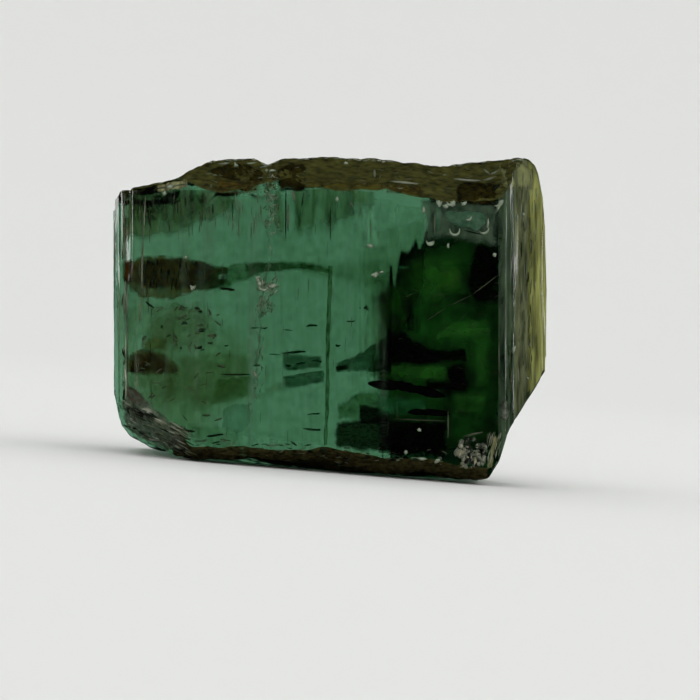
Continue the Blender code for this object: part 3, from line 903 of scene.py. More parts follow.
film("green_window", [(3.1, 10.4), (4.5, 10.8), (6.3, 10.7)], [(3.0, 8.4), (4.5, 7.6), (6.3, 8.4)],
     (1.6, 2.4), green_painted_light, fade=0.9)
film("window_left", [(2.2, 9.1), (3.7, 9.6)], [(2.1, 7.4), (3.7, 7.0)], (2.2, 2.6), green_painted_light, fade=0.9)
film("window_bright", [(4.6, 9.8), (6.1, 9.8)], [(4.6, 8.5), (6.1, 8.5)], (1.5, 1.7), bright_painted_light, fade=0.6)
film("window_right", [(4.6, 7.0), (5.6, 7.6), (7.5, 7.6)], [(4.5, 6.2), (6.0, 6.4), (7.5, 6.2)],
     (1.4, 1.8), green_painted_light, fade=0.6)
film("window_mid", [(2.6, 5.5), (5.5, 5.5)], [(2.6, 4.5), (5.5, 4.4)], (1.6, 2.0), green_painted_light, fade=0.5)
film("window_edge", [(6.0, 7.0), (7.6, 7.0)], [(6.1, 3.8), (7.6, 3.8)], (1.6, 2.0), green_painted_light, fade=0.7)
film("window_low", [(5.3, 4.2), (7.2, 4.3)], [(5.4, 2.9), (7.2, 2.9)], (1.4, 1.8), green_painted_light, fade=0.6)
film("teal_low", [(1.9, 4.2), (3.2, 4.0), (4.4, 3.8)], [(2.0, 2.9), (4.5, 2.8)], (0.9, 1.1), teal_painted_light,
     fade=0.6)

# %% [markdown]
# ## The olive rind
#
# Both breaks, the chipped corners and the rib at the right carry a thin olive to brown skin of weathered
# crystal. It could be mixed into the body's own material, but films just under the surface leave the glass
# itself plain. They follow the breaks and the ridges, and they scatter light instead of passing it on.

# %% Make the helpers for the rinds
RIND_INSET = 0.09
RIND_FADE = 3.0
SIDE_FOOT, SIDE_HEAD = 3.0, 13.0  # heights at which the ends of a side skin are measured


def break_rind(name, height, inset, reach, material, x_from, x_to, outline):
    """A film just inside one of the breaks, from the front edge to a reach behind it.

    It is kept within the stone's sides.
    """
    across, down = round((x_to - x_from) / FILM_STEP), round(reach / FILM_STEP)
    points, rim = [], []
    for r in range(down + 1):
        for c in range(across + 1):
            x = x_from + (x_to - x_from) * c / across
            y = front_at(x) + RIND_INSET / 2 + reach * r / down
            x = within_sides(x, y, outline)
            points.append((x, y, height(x, y) + inset))
            rim.append(min(1.0, RIND_FADE * (1 - r / down)))
    made = piece(name, points, sheet_faces(across, down), material)
    mark(made, "rim", rim)
    return sealed(made)


def under_skin(i, height, inset):
    """The place an inset under the surface at one of the section's points."""
    point = section(height, i)
    return point + outward[i] * (ridge(point, outward[i], height) - inset)


def side_rind(name, chosen, inset, material, low=0.1, high=0.06, rim_value=1.0):
    """A film just inside a run of the section's points, from the base break to the top break."""
    rows = round(SIDE_HEAD / FILM_STEP / 2)
    ends = [(base_break(*under_skin(i, SIDE_FOOT, inset)) + low,
             top_break(*under_skin(i, SIDE_HEAD, inset)) - high) for i in chosen]
    points = []
    for r in range(rows + 1):
        for i, (foot, head) in zip(chosen, ends):
            z = foot + (head - foot) * r / rows
            points.append((*under_skin(i, z, inset), z))
    made = piece(name, points, sheet_faces(len(chosen) - 1, rows), material)
    mark(made, "rim", [rim_value] * len(points))
    return sealed(made)


def along_section(chosen, step=3):
    """Every few points of the section that a test picks."""
    return [i for i, (x, y) in enumerate(section_below) if chosen(x, y)][::step]


print("height of a side skin in mm:", SIDE_HEAD)

# %% Lay the rinds
SIDE_INSET = 0.07

top_rind = film_finish("top_rind", (0.026, 0.024, 0.008), (0.18, 0.18, 0.05), 0.0,
                       Per_mm=1.4, Stretch=1.0, Cover=0.7, Softness=0.1, Fine=2.6, Run=0.4, Spread=0.2)
base_rind = film_finish("base_rind", (0.02, 0.016, 0.006), (0.15, 0.13, 0.045), 0.0,
                        Per_mm=1.5, Stretch=1.0, Cover=0.76, Softness=0.12, Fine=4.0, Run=0.5, Spread=0.18)
rib_olive = film_finish("rib_olive", (0.18, 0.19, 0.07), (0.78, 0.8, 0.28), 0.0,
                        Per_mm=1.4, Stretch=4.0, Cover=0.7, Softness=0.1, Fine=4.0, Run=9.0, Spread=0.15)
rib_brown = film_finish("rib_brown", (0.08, 0.1, 0.05), (0.42, 0.46, 0.24), 0.0,
                        Per_mm=1.4, Stretch=4.0, Cover=0.72, Softness=0.1, Fine=4.5, Run=7.0, Spread=0.15)
corner_rind = film_finish("corner_rind", (0.018, 0.04, 0.02), (0.15, 0.23, 0.135), 0.0,
                          Per_mm=1.3, Stretch=2.5, Cover=0.82, Softness=0.25, Fine=3.5, Run=8.0, Spread=0.16)
break_rind("top_skin", top_break, -RIND_INSET, 4.2, top_rind, -9.2, 10.0, section_above)
break_rind("base_skin", base_break, RIND_INSET, 3.4, base_rind, -7.2, 7.1, section_below)
break_rind("lost_corner_skin", base_break, RIND_INSET, 4.4, corner_rind, 7.3, 9.95, section_below)
rib_points = along_section(lambda x, y: x > 9.0 and y > 1.8 or x > 7.8 and y > 4.2, 2)
inner_points = along_section(lambda x, y: 8.38 < x < 9.15 and 1.4 < y < 2.2, 2)
corner_points = along_section(lambda x, y: 7.6 < x < 8.5 and y < 1.78)
side_rind("rib_skin", rib_points, SIDE_INSET, rib_olive)
side_rind("rib_inner_skin", inner_points, SIDE_INSET, rib_brown)
side_rind("corner_skin", corner_points, SIDE_INSET, corner_rind)
print("points across the rib's skin:", len(rib_points))

# %% Lay patches of other colours on the rind
rind_dark = film_finish("rind_dark", (0.006, 0.005, 0.001), (0.07, 0.058, 0.01), 0.0,
                        Per_mm=2.0, Stretch=1.0, Cover=0.6, Softness=0.14, Fine=4.0, Run=1.0, Spread=0.18)
strip_brown = film_finish("strip_brown", (0.045, 0.035, 0.008), (0.19, 0.14, 0.03), 0.0,
                          Per_mm=1.6, Stretch=0.5, Cover=0.84, Softness=0.22, Fine=3.0, Run=0.4, Spread=0.2)
strip_olive = film_finish("strip_olive", (0.06, 0.055, 0.012), (0.2, 0.18, 0.035), 0.0,
                          Per_mm=1.6, Stretch=0.5, Cover=0.84, Softness=0.22, Fine=3.0, Run=0.5, Spread=0.2)
rim_pale = film_finish("rim_pale", (0.36, 0.38, 0.17), (0.66, 0.68, 0.34), 0.0,
                       Per_mm=1.2, Stretch=1.0, Cover=0.8, Softness=0.3, Fine=2.5, Run=1.0, Spread=0.25)
corner_grey = film_finish("corner_grey", (0.05, 0.065, 0.04), (0.34, 0.38, 0.29), 0.0, Per_mm=2.2,
                          Stretch=0.8, Cover=0.76, Softness=0.12, Density=0.85, Fine=4.5, Run=0.8,
                          Spread=0.2)
corner_brown = film_finish("corner_brown", (0.08, 0.068, 0.045), (0.2, 0.17, 0.12), 0.0,
                           Per_mm=2.0, Stretch=1.0, Cover=0.7, Softness=0.1, Fine=3.0, Spread=0.2)
crust = film_finish("crust", (0.2, 0.19, 0.09), (0.85, 0.85, 0.45), 0.0,
                    Per_mm=2.4, Stretch=2.0, Cover=0.72, Softness=0.08, Fine=6.0, Run=5.0, Spread=0.15)
film("dark_shell", [(-5.5, 14.4), (-4.0, 14.5), (-3.0, 14.1)], [(-5.5, 13.9), (-4.2, 13.6), (-3.0, 13.5)],
     None, rind_dark)
film("dark_hollow", [(-2.5, 14.1), (-1.7, 14.5), (-1.1, 14.4)], [(-2.4, 13.1), (-1.1, 13.15)], None,
     rind_dark)
film("brown_notch", [(-5.4, 13.9), (-3.1, 13.7)], [(-5.4, 12.9), (-4.2, 12.85), (-3.1, 13.0)], None,
     strip_brown)
film("olive_gap", [(-3.0, 14.0), (-2.4, 14.0)], [(-3.0, 13.1), (-2.4, 13.1)], None, strip_olive)
film("olive_strip", [(-1.2, 13.6), (2.4, 13.6)], [(-1.2, 13.2), (2.4, 13.1)], None, strip_olive)
film("yellow_strip", [(2.4, 13.5), (4.2, 13.5)], [(2.4, 13.0), (4.3, 12.9)], None, strip_brown)
film("cream_ledge", [(-7.9, 13.5), (-6.4, 13.8)], [(-7.9, 13.1), (-6.4, 13.3)], None, crust, fade=0.2)
film("brown_zone", [(5.7, 13.6), (7.6, 13.6)], [(5.7, 12.6), (7.5, 12.4)], None, rind_dark)
film("pale_corner", [(7.6, 14.7), (8.6, 14.8), (9.3, 14.2)], [(7.8, 13.2), (9.5, 13.1)], None, rim_pale,
     fade=0.8)
film("chip_skin", [(-9.7, 4.9), (-8.7, 4.2), (-7.4, 3.1), (-6.2, 2.4)],
     [(-9.6, 2.3), (-8.9, 1.8), (-7.8, 1.3), (-6.6, 1.2)], None, corner_grey)
film("corner_facet", [(-9.5, 4.6), (-8.7, 4.2)], [(-9.3, 3.4), (-8.1, 3.4)], None, corner_brown)
film("smoky_facet", [(7.5, 3.9), (8.5, 3.8)], [(7.4, 2.6), (8.1, 2.7)], None, corner_grey)
film("crust_facet", [(7.1, 2.3), (7.9, 2.3)], [(7.0, 0.5), (7.3, 0.6)], None, crust)

# %% [markdown]
# ## Cracks seen on edge, tubes and dashes
#
# A crack that runs straight back into the stone shows only as a line. Hollow growth tubes are dark rods,
# and short dashes are tiny cracks that lie flat. At this size thin strips, closed rods and flat lenses are
# enough for them.

# %% Make ribbons, rods and solid finishes
RIBBON_STEP, RIBBON_SLANT = 0.1, 0.1
RIBBON_EDGE = 0.35  # how solid a ribbon is at its two edges
WIDTH_PITCH, SHIFT_PITCH = 2.1, 1.7
ROD_STEP, ROD_ROUGH, ROD_PITCH = 0.15, 0.35, 4
ROD_TIP, ROD_TAPER = 0.25, 6
DARKEST, LIGHTEST = 0.45, 1.3  # what the grain of a solid finish does to its colour
GRAIN_STRENGTH = 0.6


def ribbon(name, line, depth, width, material, wander=0.0):
    """A narrow upright or slanting strip along (x, z) points, with a wandering width."""
    count = max(4, round(run_length(line) / RIBBON_STEP))
    points, rim = [], []
    for k in range(count + 1):
        x, z = walk(line, k / count)
        x2, z2 = walk(line, min(1.0, (k + 1) / count))
        x1, z1 = walk(line, max(0.0, (k - 1) / count))
        size = math.hypot(x2 - x1, z2 - z1)
        half = width / 2 * (1 + wander * noise.noise(Vector((z * WIDTH_PITCH, x * WIDTH_PITCH, 4.0))) * 2)
        shift = wander * width * noise.noise(Vector((z * SHIFT_PITCH, 9.0, x * SHIFT_PITCH)))
        nx, nz = -(z2 - z1) / size, (x2 - x1) / size
        for side in (-1, 0, 1):
            where = side * half + shift
            points.append(held_inside(x + nx * where, depth + RIBBON_SLANT * side, z + nz * where))
            rim.append(RIBBON_EDGE if side else 1.0)
    made = piece(name, points, sheet_faces(2, count), material)
    mark(made, "rim", rim)
    return sealed(made)


def rod(name, line, depths, radii, material, sides=10):
    """A closed tapered tube along (x, z) points."""
    count = max(6, round(run_length(line) / ROD_STEP))
    points = []
    for k in range(count + 1):
        s = k / count
        x, z = walk(line, s)
        y = depths[0] + (depths[1] - depths[0]) * s
        radius = radii[0] + (radii[1] - radii[0]) * s
        radius *= 1 + ROD_ROUGH * noise.noise(Vector((x * ROD_PITCH, z * ROD_PITCH, 2.0)))
        radius *= min(1.0, ROD_TIP + ROD_TAPER * min(s, 1 - s))
        for a in range(sides):
            angle = 2 * math.pi * a / sides
            points.append((x, y + radius * math.cos(angle), z + radius * math.sin(angle)))
    faces = []
    for k in range(count):
        for a in range(sides):
            low, high, b = k * sides, (k + 1) * sides, (a + 1) % sides
            faces.append((low + a, low + b, high + b, high + a))
    faces += [tuple(range(sides))[::-1], tuple(count * sides + a for a in range(sides))]
    return sealed(piece(name, points, faces, material))


def opaque(name, colour, roughness, grain_height=0.0, shine=0.5):
    """A solid finish with a fine grain in its colour."""
    material, tree, shader = new_material(name)
    plain(shader, Roughness=roughness, Specular_IOR_Level=shine)
    tint = tree.nodes.new("ShaderNodeMix")
    tint.data_type = "RGBA"
    tint.inputs["A"].default_value = (*[c * DARKEST for c in colour], 1)
    tint.inputs["B"].default_value = (*[min(1, c * LIGHTEST) for c in colour], 1)
    grain = grain_node(tree, per_mm=6.0, detail=4.0)
    tree.links.new(grain, tint.inputs["Factor"])
    tree.links.new(tint.outputs["Result"], shader.inputs["Base Color"])
    if grain_height:
        bumped(tree, shader, grain, GRAIN_STRENGTH, grain_height)
    return material


print("steps of a ribbon and a rod in mm:", RIBBON_STEP, ROD_STEP)

# %% Draw the lines inside
tube_black = opaque("tube_black", (0.001, 0.003, 0.001), 0.9, shine=0.0)
edge_dark = film_finish("edge_dark", (0.02, 0.035, 0.01), (0.22, 0.32, 0.16), 1.0,
                        Per_mm=3.0, Stretch=6.0, Cover=0.7, Softness=0.1)
rod("growth_tube", [(1.7, 4.5), (2.4, 4.4), (3.1, 4.4), (4.0, 4.2), (5.2, 3.9)], (0.8, 1.0), (0.22, 0.19),
    tube_black)
rod("growth_tube_low", [(3.5, 3.2), (4.4, 3.2), (5.4, 3.1)], (0.9, 1.1), (0.15, 0.14), tube_black)
ribbon("upright_line", [(0.0, 9.8), (-0.1, 6.5), (-0.1, 4.5), (-0.2, 1.7)], 0.6, 0.19, edge_dark, 0.1)
ribbon("pale_crack",
       [(-2.9, 14.2), (-2.8, 13.2), (-2.7, 12.4), (-2.9, 11.6), (-2.7, 10.2), (-3.0, 9.0), (-3.2, 7.5),
        (-3.2, 6.0), (-3.4, 5.0), (-3.3, 3.8)], 0.8, 0.2, milky, 0.9)

# %% Make flakes and set the dashes
FLAKE_ROUGH, FLAKE_SPREAD, FLAKE_TURN = 0.5, 7, 1.6  # a flake's ragged outline
DASH_DEPTH, DASH_THIN, DASH_TURN, DASH_BEND = 1.8, 0.75, 0.1, 0.3

# Each dash: x, z, width and height.
DASHES = [(-3.4, 7.0, 0.4, 0.1), (-3.0, 7.0, 0.3, 0.1), (-1.9, 6.9, 0.4, 0.06), (-0.8, 7.1, 0.5, 0.15),
          (0.9, 7.3, 0.4, 0.1), (0.3, 6.2, 0.2, 0.15), (-1.6, 5.9, 1.0, 0.15), (-2.5, 5.8, 0.6, 0.06),
          (-1.9, 5.3, 0.25, 0.15), (-1.3, 5.4, 0.5, 0.15), (-0.6, 5.5, 0.5, 0.1), (-3.3, 5.3, 0.35, 0.15),
          (-4.7, 6.2, 0.25, 0.1), (-5.9, 6.1, 0.3, 0.15), (-6.5, 7.2, 0.25, 0.2), (-5.8, 6.9, 0.3, 0.25),
          (-0.8, 2.4, 0.8, 0.15), (-0.7, 3.1, 0.6, 0.1), (1.6, 7.9, 0.35, 0.3)]


def flake_shape(x, y, z, wide, tall, angle=0.0, bend=0.0, thick=0.04, around=16):
    """Points and faces of a thin closed lens with a ragged outline, that can be bent into a crescent."""
    turn = Matrix.Rotation(angle, 2)
    middle = turn @ Vector((0, -bend * tall * 0.5))
    points = [(x + middle[0], y + side * thick, z + middle[1]) for side in (-1, 1)]
    for k in range(around):
        a = 2 * math.pi * k / around
        round_x, round_z = FLAKE_TURN * math.cos(a), FLAKE_TURN * math.sin(a)
        where = Vector((x * FLAKE_SPREAD + round_x, z * FLAKE_SPREAD + round_z, tall))
        rough = 1 + FLAKE_ROUGH * noise.noise(where)
        u, v = wide / 2 * math.cos(a) * rough, tall / 2 * math.sin(a) * rough
        v += bend * tall * ((2 * u / wide) ** 2 - 0.5)
        du, dv = turn @ Vector((u, v))
        points.append((x + du, y, z + dv))
    faces = []
    for k in range(around):
        a, b = 2 + k, 2 + (k + 1) % around
        faces += [(0, a, b), (1, b, a)]
    return points, faces


def joined(name, shapes, material):
    """One piece from many small shapes."""
    points, faces = [], []
    for some_points, some_faces in shapes:
        start = len(points)
        points += some_points
        faces += [tuple(start + i for i in face) for face in some_faces]
    return sealed(piece(name, points, faces, material))


dash_green = opaque("dash_green", (0.025, 0.085, 0.04), 0.9, shine=0.0)
dashes = []
for k, (x, z, wide, tall) in enumerate(DASHES):
    turn, bend = DASH_TURN * math.sin(k * 2.3), DASH_BEND * math.sin(k * 1.7)
    dashes.append(flake_shape(x, DASH_DEPTH, z, wide, tall * DASH_THIN, turn, bend))
joined("dark_dashes", dashes, dash_green)
print("dashes:", len(dashes))

# %% [markdown]
# ## Chips with painted highlights
#
# Small shells chipped from the face at the upper right and along the edges catch the light as pale droplets,
# and that light is painted: each is a tiny bent lens half sunk in the face, coloured pale as a painted
# highlight. The clearest ones show as crescents of painted highlight, which are thin slivers bent along an
# arc. Real dents would need a far finer body.

# %% Set the painted highlights on the chips
# Each chip: x, z, width, height, turn and bend.
CHIPS = [(4.9, 12.6, 0.18, 0.3, 0.1, 0.0), (5.2, 12.5, 0.3, 0.2, 0.2, 0.4),
         (5.5, 12.6, 0.25, 0.3, 0.3, 0.2), (6.0, 12.6, 0.2, 0.15, 0.8, 0.2),
         (4.2, 12.3, 0.15, 0.3, 0.0, 0.0), (7.6, 12.5, 0.15, 0.7, -0.4, 0.1),
         (4.5, 10.8, 0.3, 0.18, 0.3, 0.2), (5.3, 10.7, 0.1, 0.25, 0.0, 0.0),
         (7.1, 11.7, 0.1, 0.4, -0.2, 0.0), (7.4, 10.3, 0.2, 0.2, 0.0, 0.0),
         (8.8, 12.2, 0.15, 0.2, 0.0, 0.0), (8.5, 12.0, 0.12, 0.35, 0.0, 0.0),
         (2.0, 9.4, 0.3, 0.2, 0.4, 0.2), (2.3, 9.5, 0.2, 0.1, 0.3, 0.0), (1.8, 10.7, 0.3, 0.15, -0.2, 0.0),
         (0.3, 12.8, 0.15, 0.25, 0.0, 0.0), (-7.2, 13.4, 0.4, 0.2, 0.1, 0.0),
         (-7.5, 13.1, 0.2, 0.2, 0.0, 0.0), (-6.2, 8.8, 0.2, 0.2, 0.0, 0.0),
         (-6.5, 10.2, 0.15, 0.15, 0.0, 0.0), (-2.6, 8.9, 0.4, 0.2, 0.2, 0.2),
         (-3.2, 9.0, 0.2, 0.25, 0.8, 0.2), (8.3, 6.0, 0.2, 0.35, -0.5, 0.0), (9.0, 4.7, 0.2, 0.1, 0.4, 0.0),
         (4.0, 2.4, 0.2, 0.15, -0.4, 0.0), (3.4, 1.4, 0.2, 0.2, 0.0, 0.0), (4.1, 1.1, 0.45, 0.15, 0.0, 0.0),
         (4.8, 1.0, 0.3, 0.15, 0.6, 0.0), (-3.6, 14.5, 0.5, 0.1, 0.0, 0.1),
         (-3.0, 14.3, 0.4, 0.15, 0.1, 0.0), (-2.6, 14.1, 0.3, 0.15, -0.2, 0.0),
         (0.7, 14.5, 0.2, 0.2, 0.0, 0.0), (-4.9, 14.5, 0.5, 0.15, 0.1, 0.2),
         (-4.3, 14.4, 0.3, 0.2, -0.8, 0.2)]

# A pale finish that paints the highlights of the chips and crescents.
chip_painted_highlight = opaque("chip_painted_highlight", (0.33, 0.39, 0.28), 0.45)
joined("painted_chip_highlights", [flake_shape(x, surface_depth(x, z), z, wide, tall, angle, bend)
                      for x, z, wide, tall, angle, bend in CHIPS], chip_painted_highlight)
print("chips:", len(CHIPS))

# %% Set the crescents
# Each crescent: x and z of the middle of its arc, its radius, then the sweep and the place of its middle in
# degrees.
CRESCENTS = [(5.6, 11.4, 0.22, 220, -90), (6.9, 11.5, 0.24, 160, -70), (4.5, 10.9, 0.16, 200, -90),
             (5.4, 12.7, 0.16, 170, -90), (4.9, 12.7, 0.12, 200, -100), (6.0, 12.7, 0.12, 180, -80),
             (7.5, 12.8, 0.3, 110, -60), (6.2, 12.0, 0.14, 150, -60), (-3.0, 8.9, 0.2, 160, -90),
             (-6.2, 8.9, 0.1, 220, -90)]
ARC_STEPS, ARC_THICK, ARC_TIP = 12, 0.055, 0.06


def crescent_shape(x, z, radius, sweep, middle):
    """Points and faces of a thin bent sliver along an arc, thickest in its middle, half sunk in the face."""
    points = []
    y = surface_depth(x, z)
    for k in range(ARC_STEPS + 1):
        a = math.radians(middle + sweep * (k / ARC_STEPS - 0.5))
        half = ARC_THICK * math.sin(math.pi * (ARC_TIP + (1 - 2 * ARC_TIP) * k / ARC_STEPS))
        for out, deep in ((half, 0), (0, half / 2), (-half, 0), (0, -half / 2)):
            points.append((x + (radius + out) * math.cos(a), y + deep, z + (radius + out) * math.sin(a)))
    faces = [(k * 4 + a, k * 4 + (a + 1) % 4, k * 4 + 4 + (a + 1) % 4, k * 4 + 4 + a)
             for k in range(ARC_STEPS) for a in range(4)]
    return points, faces + [(3, 2, 1, 0), tuple(ARC_STEPS * 4 + a for a in range(4))]


# The crescents are painted highlights as well.
joined("crescents", [crescent_shape(*row) for row in CRESCENTS], chip_painted_highlight)
print("crescents:", len(CRESCENTS))

# %% [markdown]
# ## Fine marks under the surface
#
# Up close the skin of the stone is crowded with short streaks: the sides of growth ridges, the edges of
# tiny cracks and specks of light in the breaks. The specks of light and the glints along the ridges are
# painted highlights, given by the pale end of the ramp. Each is a thin closed sliver just under the surface,
# and a tone stored on it picks its brightness from one shared colour ramp.

# %% Make a finish with many tones
# The pale end of the ramp is both the colour of pale crack edges and painted highlights.
# Each stop of a ramp: its tone, from 0 to 1, and its colour.
SLIVER_TONES = [(0.0, (0.003, 0.004, 0.002)), (0.25, (0.03, 0.045, 0.018)), (0.5, (0.17, 0.2, 0.12)),
                (0.75, (0.45, 0.5, 0.35)), (1.0, (1.0, 1.0, 0.86))]


def toned(tree, shader, stops):
    """Colours a piece from the tone stored on it, through a ramp of stops."""
    tone = tree.nodes.new("ShaderNodeAttribute")
    tone.attribute_name = "tone"
    ramp = tree.nodes.new("ShaderNodeValToRGB")
    elements = ramp.color_ramp.elements
    for place, _ in stops[1:-1]:
        elements.new(place)
    for element, (_, colour) in zip(elements, stops):
        element.color = (*colour, 1)
    tree.links.new(tone.outputs["Fac"], ramp.inputs["Fac"])
    tree.links.new(ramp.outputs["Color"], shader.inputs["Base Color"])


def sliver_finish():
    """Black, olive, grey-green and pale slivers in one finish, picked by the tone stored on each."""
    material, tree, shader = new_material("sliver")
    plain(shader, Roughness=0.8, Specular_IOR_Level=0.1)
    toned(tree, shader, SLIVER_TONES)
    bumped(tree, shader, grain_node(tree, per_mm=8.0), strength=0.4, distance=0.00002)
    return material


sliver = sliver_finish()
print("tones in the ramp:", len(SLIVER_TONES))

# %% Make slivers
SLIVER_SIDES, SLIVER_THICK = 12, 0.025
SLIVER_ROUGH, SLIVER_SPREAD, SLIVER_TURN = 0.6, 7, 2  # a sliver's ragged outline
HALF_LENGTHS, WIDTH_SHARES = (0.2, 0.5), (0.4, 1.0)  # shares of a box's length and width


def sliver_shape(x1, z1, x2, z2, width):
    """Points and faces of a thin closed lens between two ends, just under the surface seen from the front."""
    along = Vector((x2 - x1, z2 - z1)) / 2
    across = Vector((-along.y, along.x)).normalized() * width / 2
    flat = [Vector((x1 + x2, z1 + z2)) / 2]
    for k in range(SLIVER_SIDES):
        a = 2 * math.pi * k / SLIVER_SIDES
        round_x, round_z = SLIVER_TURN * math.cos(a), SLIVER_TURN * math.sin(a)
        where = Vector((x1 * SLIVER_SPREAD + round_x, z1 * SLIVER_SPREAD + round_z, width))
        rough = 1 + SLIVER_ROUGH * noise.noise(where)
        flat.append(flat[0] + along * math.cos(a) + across * (math.sin(a) * rough))
    depth = [surface_depth(*p) + SKIN_INSET for p in flat]
    past_side = any(within_sides(p.x, d, section_below) != p.x for p, d in zip(flat, depth))
    if past_side or max(depth) > DEPTH / 2:
        return None
    points = [(flat[0].x, depth[0] + side * SLIVER_THICK, flat[0].y) for side in (-1, 1)]
    points += [(p.x, d, p.y) for p, d in zip(flat[1:], depth[1:])]
    faces = []
    for k in range(SLIVER_SIDES):
        a, b = 2 + k, 2 + (k + 1) % SLIVER_SIDES
        faces += [(0, a, b), (1, b, a)]
    return points, faces


def slivers(name, rows):
    """One piece from rows of (x1, z1, x2, z2, width, tone)."""
    shapes, tones = [], []
    for *shape, tone in rows:
        made = sliver_shape(*shape)
        if made:
            shapes.append(made)
            tones += [tone] * len(made[0])
    whole = joined(name, shapes, sliver)
    mark(whole, "tone", tones)
    print(name, "slivers:", len(shapes))
    return whole


def scattered(seed, count, box, length, width, angle, spread, tones, shear=0.0):
    """Rows of random slivers in a box of (x_from, x_to, z_from, z_to), which a shear can slant."""
    random = np.random.default_rng(seed)
    rows = []
    for _ in range(count):
        x, z = random.uniform(*box[:2]), random.uniform(*box[2:])
        z += shear * (x - box[0])
        half = random.uniform(*HALF_LENGTHS) * length
        a = math.radians(random.normal(angle, spread))
        dx, dz = half * math.cos(a), half * math.sin(a)
        wide = random.uniform(*WIDTH_SHARES) * width
        rows.append((x - dx, z - dz, x + dx, z + dz, wide, random.uniform(*tones)))
    return rows


print("sides of a sliver:", SLIVER_SIDES)

# %% Draw the marks that stand out
# The pale marks are partly pale crack edges and partly painted highlights: glints on the ridges of the left
# side and the rib, along the top rim and on the lower-left corner facets.
# Each mark: x and z of both ends, width and tone.
PALE_MARKS_AND_PAINTED_GLINTS = [(-8.4, 13.0, -8.5, 11.0, 0.1, 0.7), (-8.5, 11.1, -8.6, 8.4, 0.1, 0.7),
              (-8.6, 8.4, -8.7, 7.2, 0.1, 0.7), (-9.5, 12.6, -9.4, 11.2, 0.2, 0.7),
              (-9.4, 11.2, -9.5, 10.1, 0.14, 0.7), (-9.5, 8.6, -9.4, 7.5, 0.1, 0.7),
              (-8.0, 13.3, -6.4, 13.5, 0.12, 0.6), (-5.4, 13.7, -5.4, 13.1, 0.12, 0.5),
              (-5.7, 14.0, -4.9, 13.9, 0.1, 0.6), (-1.7, 13.2, -1.6, 12.7, 0.15, 0.7),
              (-1.9, 12.6, -1.9, 11.3, 0.1, 0.6), (0.9, 12.7, 1.0, 12.4, 0.1, 0.6),
              (1.8, 11.9, 1.8, 11.0, 0.05, 0.5), (2.0, 14.2, 2.0, 13.8, 0.12, 0.7),
              (2.7, 13.6, 4.0, 13.5, 0.12, 0.85), (5.6, 13.8, 6.9, 13.7, 0.1, 0.85),
              (6.9, 13.7, 7.6, 13.9, 0.1, 0.7), (7.0, 14.3, 7.3, 14.0, 0.1, 0.7),
              (7.3, 14.0, 7.7, 14.2, 0.1, 0.7), (4.7, 12.2, 4.7, 11.2, 0.08, 0.6),
              (8.1, 12.1, 8.0, 11.3, 0.12, 0.6), (8.4, 9.9, 8.3, 8.1, 0.12, 0.8),
              (8.3, 7.6, 8.3, 6.8, 0.1, 0.7), (7.7, 7.6, 7.7, 6.8, 0.2, 0.5),
              (7.6, 6.4, 7.6, 4.9, 0.06, 0.6), (2.8, 2.9, 5.3, 2.8, 0.06, 0.5),
              (5.3, 3.3, 5.3, 2.0, 0.08, 0.6), (7.2, 2.4, 7.8, 2.7, 0.15, 0.6),
              (6.0, 2.1, 6.9, 2.3, 0.1, 0.6), (4.3, 7.3, 5.2, 7.9, 0.05, 0.35),
              (5.2, 7.9, 6.4, 8.5, 0.05, 0.4), (6.4, 8.5, 7.6, 9.4, 0.05, 0.5),
              (-8.9, 2.0, -7.7, 1.8, 0.12, 0.9), (-8.6, 3.3, -8.0, 3.2, 0.25, 0.9),
              (-7.3, 2.6, -6.6, 2.2, 0.12, 0.8), (-7.2, 1.7, -6.7, 1.5, 0.2, 0.8),
              (-8.2, 2.9, -7.4, 2.6, 0.15, 0.7), (-8.5, 2.6, -7.7, 2.1, 0.1, 0.7),
              (-9.6, 5.6, -9.3, 5.0, 0.15, 0.7), (-3.5, 5.1, -3.3, 4.7, 0.15, 0.8)]
DARK_MARKS = [(-9.5, 6.1, -9.4, 5.6, 0.15, 0.0), (-9.0, 6.2, -8.9, 5.9, 0.2, 0.0),
              (-9.6, 5.0, -9.3, 4.3, 0.12, 0.0), (-9.1, 3.2, -8.1, 2.9, 0.2, 0.1),
              (-7.8, 2.5, -7.3, 2.3, 0.1, 0.1), (-6.6, 2.4, -6.1, 2.3, 0.1, 0.1),
              (-8.8, 13.0, -8.9, 11.6, 0.1, 0.2), (-8.3, 12.6, -8.2, 11.6, 0.08, 0.2),
              (-5.3, 12.6, -5.3, 12.1, 0.06, 0.2), (-4.4, 12.8, -4.4, 11.8, 0.06, 0.2),
              (-1.2, 13.1, -1.3, 12.4, 0.07, 0.2), (-2.0, 13.3, -2.0, 10.9, 0.07, 0.1),
              (0.0, 12.5, 0.0, 10.9, 0.06, 0.2), (-8.4, 8.2, -8.0, 7.9, 0.1, 0.1),
              (-5.0, 8.8, -4.3, 8.7, 0.15, 0.1), (-5.0, 4.9, -3.6, 4.9, 0.08, 0.2),
              (-5.6, 2.1, -4.8, 2.2, 0.12, 0.0), (6.0, 13.6, 6.5, 13.6, 0.08, 0.0),
              (7.3, 13.2, 7.7, 13.5, 0.2, 0.1), (7.2, 12.7, 7.4, 12.5, 0.15, 0.1),
              (6.0, 11.4, 6.9, 11.2, 0.06, 0.1), (8.7, 11.0, 8.7, 10.2, 0.07, 0.2),
              (8.0, 9.3, 8.4, 9.2, 0.08, 0.2), (8.4, 4.4, 8.5, 3.8, 0.2, 0.0)]
slivers("pale_marks_and_painted_glints", PALE_MARKS_AND_PAINTED_GLINTS)
slivers("dark_marks", DARK_MARKS)

